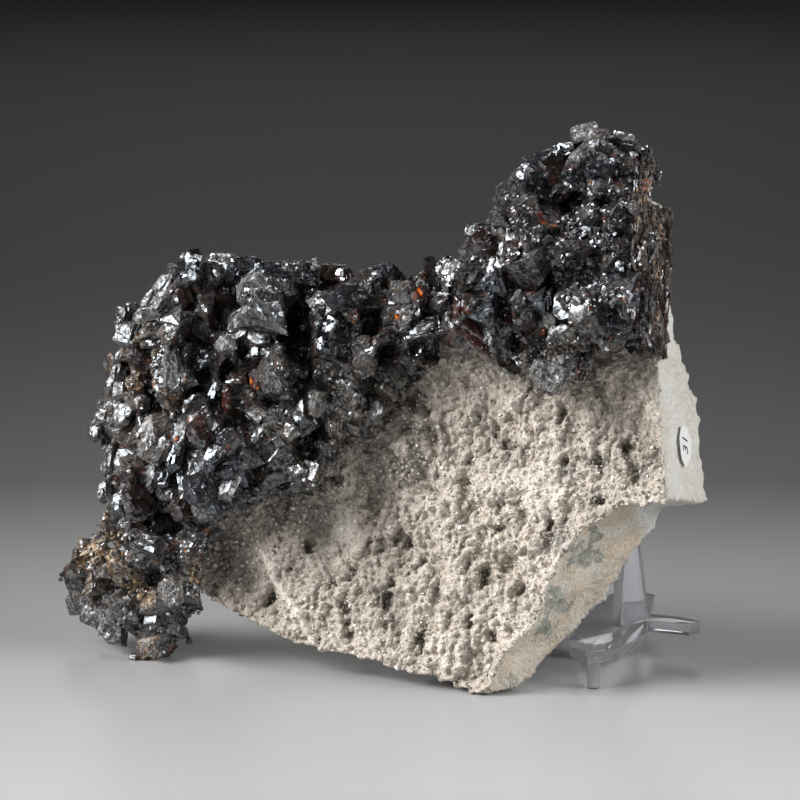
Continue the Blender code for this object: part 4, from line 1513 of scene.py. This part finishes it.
def larger_crystals(crust, solid, kinds, claimed, accept, draw):
    """Families of larger crystals over the crust, which keep clear of the ones placed one by one."""
    groups = scattered(crust.data, GROUP_SPACING, "groups", accept)
    tree = KDTree(len(groups))
    group_looks = []
    for i, (place, _) in enumerate(groups):
        tree.insert(place, i)
        group_looks.append((random_turn(draw), draw.random()))
    tree.balance()
    families = []
    for place, normal in scattered(crust.data, PARENT_SPACING, "parents", accept):
        if not is_open(place, normal, solid) or hollowness(place):
            continue
        turn, group_tone = group_looks[tree.find(place)[1]]
        wide, dull_and_sheen, rust, red, _, shine = look_at(place)
        kind = draw.choice(LARGER_KINDS)
        if draw.random() < shine and normal.dot(LEFT_GLINT) > 0:
            turn = facing_turn(kinds[kind], LEFT_GLINT, draw)
        elif draw.random() < RIGHT_GLINT_SHARE and normal.dot(RIGHT_GLINT) > 0:
            turn = facing_turn(kinds[kind], RIGHT_GLINT, draw)
        elif draw.random() < GROUP_SHARE:
            turn = wobbled(turn, GROUP_WAVER, draw)
        else:
            turn = wobbled(normal.to_track_quat("Z", "Y"), FACE_WAVER, draw)
        sizes = three_sizes(draw.uniform(*PARENT_WIDTH) * wide, STRETCH, draw)
        tone = GROUP_TONE * group_tone + OWN_TONE * draw.random() + RED_TONE * red
        tone = min(MOST_TONE, tone)
        dull_and_sheen = clamped(dull_and_sheen + draw.gauss(0.0, DULL_AND_SHEEN_SPREAD))
        if any((place - spot).length < reach for spot, reach in claimed):
            continue
        centre = set_in(kinds[kind], place, turn, sizes, normal, draw.uniform(*PARENT_PROUD))
        parent = (kind, centre, turn, sizes, tone, dull_and_sheen, rust)
        families.append(with_offspring(parent, kinds, normal, draw))
    return families


def finest_crystals(crust, accept, draw):
    """Fine crystals over the crust, in patches, each a family of one. In a hollow they lie deep."""
    families = []
    for place, _ in scattered(crust.data, DRUSE_SPACING, "druse", accept):
        _, dull_and_sheen, rust, red, druse, _ = look_at(place)
        if noise.noise(place / DRUSE_PATCHES) + druse < draw.uniform(*DRUSE_LIMITS):
            continue
        sizes = three_sizes(draw.uniform(*DRUSE_WIDTH), STRETCH, draw)
        tone = min(1.0, DRUSE_TONE * draw.random() + DRUSE_RED * red)
        place = place - TOWARD * HOLLOW_DEPTH * hollowness(place)
        dull_and_sheen = clamped(dull_and_sheen + draw.gauss(0.0, DRUSE_DULL_AND_SHEEN_SPREAD))
        families.append([(draw.choice(FINEST_KINDS), place, random_turn(draw), sizes, tone, dull_and_sheen, rust)])
    return families


def splinters(crust, rock, draw):
    """Upright splinters, rusty in patches, over the crust's break and the slab's end beside it."""
    walls = scattered(crust.data, SPLINTER_SPACING, "break", on_break)
    walls += scattered(rock.data, SPLINTER_SPACING, "rim", on_rim)
    side = UP.cross(BREAK_FACING).normalized()
    turn = axes_turn(side, BREAK_FACING, BREAK_FACING.cross(side))
    entries = []
    for place, _ in walls:
        sizes = [draw.uniform(*spread) for spread in (SPLINTER_THICK, SPLINTER_WIDE, SPLINTER_LONG)]
        rusty = noise.noise(place / RUST_PATCHES) > RUST_LIMIT
        if rusty and draw.random() < FIERY_SHARE:
            tone = FIERY_TONE
        else:
            tone = SPLINTER_TONE + SPLINTER_TONE_SPREAD * draw.random()
        rust = SPLINTER_RUST if rusty else SPLINTER_CLEAN
        dull_and_sheen = draw.uniform(0.0, SPLINTER_DULL_AND_SHEEN)
        _, v, _ = slab_coordinates(place * MM)
        bulge = BULGE * max(0.0, 1 - ((v - BULGE_MIDDLE) / BULGE_REACH) ** 2)
        for layer in BULGE_LAYERS if bulge else (0.0,):
            turned = wobbled(turn, SPLINTER_WAVER, draw)
            spot = place + BREAK_FACING * bulge * layer
            if right_of(TOP_RIGHT_EDGE, spot) < 1:
                entries.append(("rhomb", spot, turned, sizes, tone, dull_and_sheen, rust))
    return entries


def make_crystals(rock):
    """The crust of crystals: the solid, and crystals of several sizes over it."""
    material = crystal_material()
    crust = copy_of_node("sphalerite", "crust")
    kinds = crystal_kinds()
    graph = bpy.context.evaluated_depsgraph_get()
    bed = BVHTree.FromObject(rock, graph)
    solid = BVHTree.FromObject(crust, graph)

    def accept(place, normal):
        """True off the break, where the rock leaves room and the floor isn't near."""
        blocked = bed.ray_cast((place + normal * LIFT) * MM, normal, ROOM * MM)[0]
        return blocked is None and place.z > ROOM and not on_break(place, normal)

    draw = random.Random(SEEDS["crystals"])
    features, claimed = placed_by_eye(solid, kinds)
    families = larger_crystals(crust, solid, kinds, claimed, accept, draw)
    families += finest_crystals(crust, accept, draw)
    entries = []
    for family in families:
        limit = LUMP_STAND_OUT if in_lump(family[0][1]) else STAND_OUT
        entries += well_set(family, limit, ROOT_DEPTH, kinds, solid)
    for family in features:
        entries += well_set(family, FEATURE_REACH, -1, kinds, solid)
    entries += splinters(crust, rock, draw)
    pieces = {"crystals_left": [], "crystals_lower": [], "crystals_middle": [], "crystals_right": []}
    for entry in entries:
        u, v, _ = slab_coordinates(entry[1] * MM)
        if u > RIGHT_START:
            pieces["crystals_right"].append(entry)
        elif u > LUMP_CORNER[0]:
            pieces["crystals_middle"].append(entry)
        elif v > LUMP_CORNER[1]:
            pieces["crystals_left"].append(entry)
        else:
            pieces["crystals_lower"].append(entry)
    for name, chosen in pieces.items():
        turned = [(kind, place, turn.to_matrix(), *rest) for kind, place, turn, *rest in chosen]
        finish_piece(copies(name, kinds, turned), material)
    finish_crust(crust, material)


def finish_crust(crust, material):
    """Breaks the solid's faces into small facets, each a little higher or lower than the next."""
    apply_modifier(crust, "REMESH", mode="VOXEL", voxel_size=CRUST_VOXEL * MM, adaptivity=0.0)
    mesh = crust.data
    looks, moves = [], []
    for vertex in mesh.vertices:
        place = vertex.co / MM
        if breaks_here(place):
            u, _, _ = slab_coordinates(vertex.co)
            pattern = Vector([a / size for a, size in zip((u, place.z, place.y), BREAK_STREAK)])
            streak = (noise.noise(pattern) + BREAK_RAISED) * BREAK_HEIGHT
            moves.append(vertex.co + vertex.normal * streak * MM)
            looks.append(BREAK_LOOK)
            continue
        _, points = noise.voronoi(place / FACET_SIZE)
        offset = noise.cell_vector(points[0] * FACET_SPREAD)
        tilt = (place / FACET_SIZE - points[0]).dot(offset - Vector((0.5, 0.5, 0.5)))
        height = FACET_HEIGHT * (offset.x - FACET_SUNK + FACET_TILT * tilt)
        hollow = hollowness(place)
        moves.append(vertex.co + (vertex.normal * height - TOWARD * HOLLOW_DEPTH * hollow) * MM)
        _, dull_and_sheen, rust, red, _, _ = look_at(place)
        fiery = offset.z > FACET_FIERY - FACET_RED * red
        tone = FACET_FIERY_TONE if fiery else FACET_TONE + FACET_TONE_SPREAD * offset.y
        dull_and_sheen = min(1.0, dull_and_sheen * CRUST_DULL_AND_SHEEN + FACET_DULL_AND_SHEEN * max(0.0, offset.x - 0.5))
        # In a hollow, the tone and the dullness with its grey are lowered: painted shade
        looks.append((tone * (1 - HOLLOW_PAINTED_SHADE * hollow), dull_and_sheen * (1 - hollow), rust))
    move_points(mesh, moves)
    set_looks(mesh, CRYSTAL_LOOKS, looks, np.array([v.co / MM for v in mesh.vertices]))
    mesh.shade_flat()
    finish_piece(crust, material, ["sphalerite"])


# The stand and the label


def make_stand():
    material = acrylic_material()
    for node, name in (("stand_base", "stand_plate"), ("stand_fin", "stand_upright")):
        made = copy_of_node(node, name)
        apply_modifier(
            made, "BEVEL", width=EDGE_ROUND * MM, segments=3, limit_method="ANGLE", angle_limit=EDGE_SHARP
        )
        made.data.shade_smooth()
        activate(made)
        bpy.ops.object.shade_smooth_by_angle(angle=math.radians(30))
        finish_piece(made, material, [node])


def label_axes():
    """The label's middle in millimetres, and the ways across it, up it and out of it."""
    points = np.array([v.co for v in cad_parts["label"].data.vertices]) / MM
    centre = points.mean(axis=0)
    _, _, axes = np.linalg.svd(points - centre)
    up, out = Vector(axes[0]), Vector(axes[2])
    if up.z < 0:
        up.negate()
    if out.dot(ALONG) < 0:
        out.negate()
    return Vector(centre), up.cross(out), up, out


def make_label():
    """A paper label stuck to the right side, with a plain number written up it."""
    centre, across, up, out = label_axes()
    deselect()
    bpy.ops.mesh.primitive_circle_add(vertices=40, radius=0.5, fill_type="NGON")
    paper = bpy.context.object
    paper.name = "label_paper"
    bpy.ops.object.mode_set(mode="EDIT")
    bpy.ops.mesh.select_all(action="SELECT")
    bpy.ops.mesh.extrude_region_move(TRANSFORM_OT_translate={"value": (0, 0, LABEL_THICK)})
    bpy.ops.mesh.select_all(action="SELECT")
    bpy.ops.mesh.normals_make_consistent(inside=False)
    bpy.ops.object.mode_set(mode="OBJECT")
    for vertex in paper.data.vertices:
        angle = math.atan2(vertex.co.y, vertex.co.x)
        wide = 1.0
        for height, count, start in LABEL_WAVES:
            wide += height * math.sin(count * angle + start)
        flat = across * vertex.co.x * LABEL_WIDE * wide + up * vertex.co.y * LABEL_TALL * wide
        vertex.co = (centre + flat + out * (vertex.co.z - LABEL_SEAT)) * MM
    finish_piece(paper, paper_material(), ["label"])
    bpy.ops.object.text_add()
    number = bpy.context.object
    number.name = "label_number"
    number.data.body = NUMBER
    number.data.size = NUMBER_SIZE
    number.data.align_x = "CENTER"
    number.data.align_y = "CENTER"
    number.data.resolution_u = 3
    number.data.extrude = NUMBER_THICK
    number.data.shear = NUMBER_SLANT
    activate(number)
    bpy.ops.object.convert(target="MESH")
    number = bpy.context.object
    for vertex in number.data.vertices:
        flat = up * vertex.co.x - across * vertex.co.y
        lift = vertex.co.z + LABEL_THICK - LABEL_SEAT + NUMBER_LIFT
        vertex.co = (centre + flat + out * lift) * MM
    finish_piece(number, ink_material())


# The stage


def make_stage():
    deselect()
    bpy.ops.mesh.primitive_plane_add(size=1)
    floor = bpy.context.object
    floor.name = "floor"
    floor.scale = (*FLOOR_SIZE, 1)
    floor.location = (0, FLOOR_BACK, 0)
    bpy.ops.object.transform_apply(location=True, rotation=False, scale=True)
    n = Nodes("pale_floor", Roughness=0.32)
    depth = n.add("SeparateXYZ", {"Vector": n.place()}).outputs["Y"]
    # The floor's colour turns from pale to grey further back: painted falloff of the light
    n.set("Base Color", n.mix(n.range(depth, *FLOOR_PAINTED_FALLOFF), FLOOR_PALE, FLOOR_PAINTED_SHADE_GREY))
    floor.data.materials.append(n.material)
    world = bpy.data.worlds.new("studio")
    bpy.context.scene.world = world
    world.use_nodes = True
    world.node_tree.nodes["Background"].inputs["Color"].default_value = STUDIO_GREY


def add_light(name, azimuth, elevation, distance, width, height, power, spread, aim):
    """A soft light that faces the specimen."""
    a, e = math.radians(azimuth), math.radians(elevation)
    away = Vector((math.sin(a) * math.cos(e), -math.cos(a) * math.cos(e), math.sin(e)))
    data = bpy.data.lights.new(name, "AREA")
    data.shape = "RECTANGLE"
    data.size, data.size_y = width, height
    data.energy = power
    data.spread = math.radians(spread)
    light = bpy.data.objects.new(name, data)
    light.location = aim * MM + away * distance
    light.rotation_euler = away.to_track_quat("Z", "Y").to_euler()
    bpy.context.scene.collection.objects.link(light)


def make_camera():
    data = bpy.data.cameras.new("camera")
    data.lens = LENS
    data.sensor_width = SENSOR
    camera = bpy.data.objects.new("camera", data)
    camera.location = (AIM + TOWARD * DISTANCE) * MM
    camera.rotation_euler = (math.pi / 2 - ELEVATION, 0, 0)
    bpy.context.scene.collection.objects.link(camera)
    bpy.context.scene.camera = camera


make_camera()
make_stage()
for light in LIGHTS:
    add_light(*light)
slab = BVHTree.FromObject(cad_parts["matrix"], bpy.context.evaluated_depsgraph_get())
rock = make_rock(label_axes()[0])
make_grains(rock, slab)
make_crystals(rock)
make_stand()
make_label()

bpy.context.scene.view_settings.view_transform = "Standard"
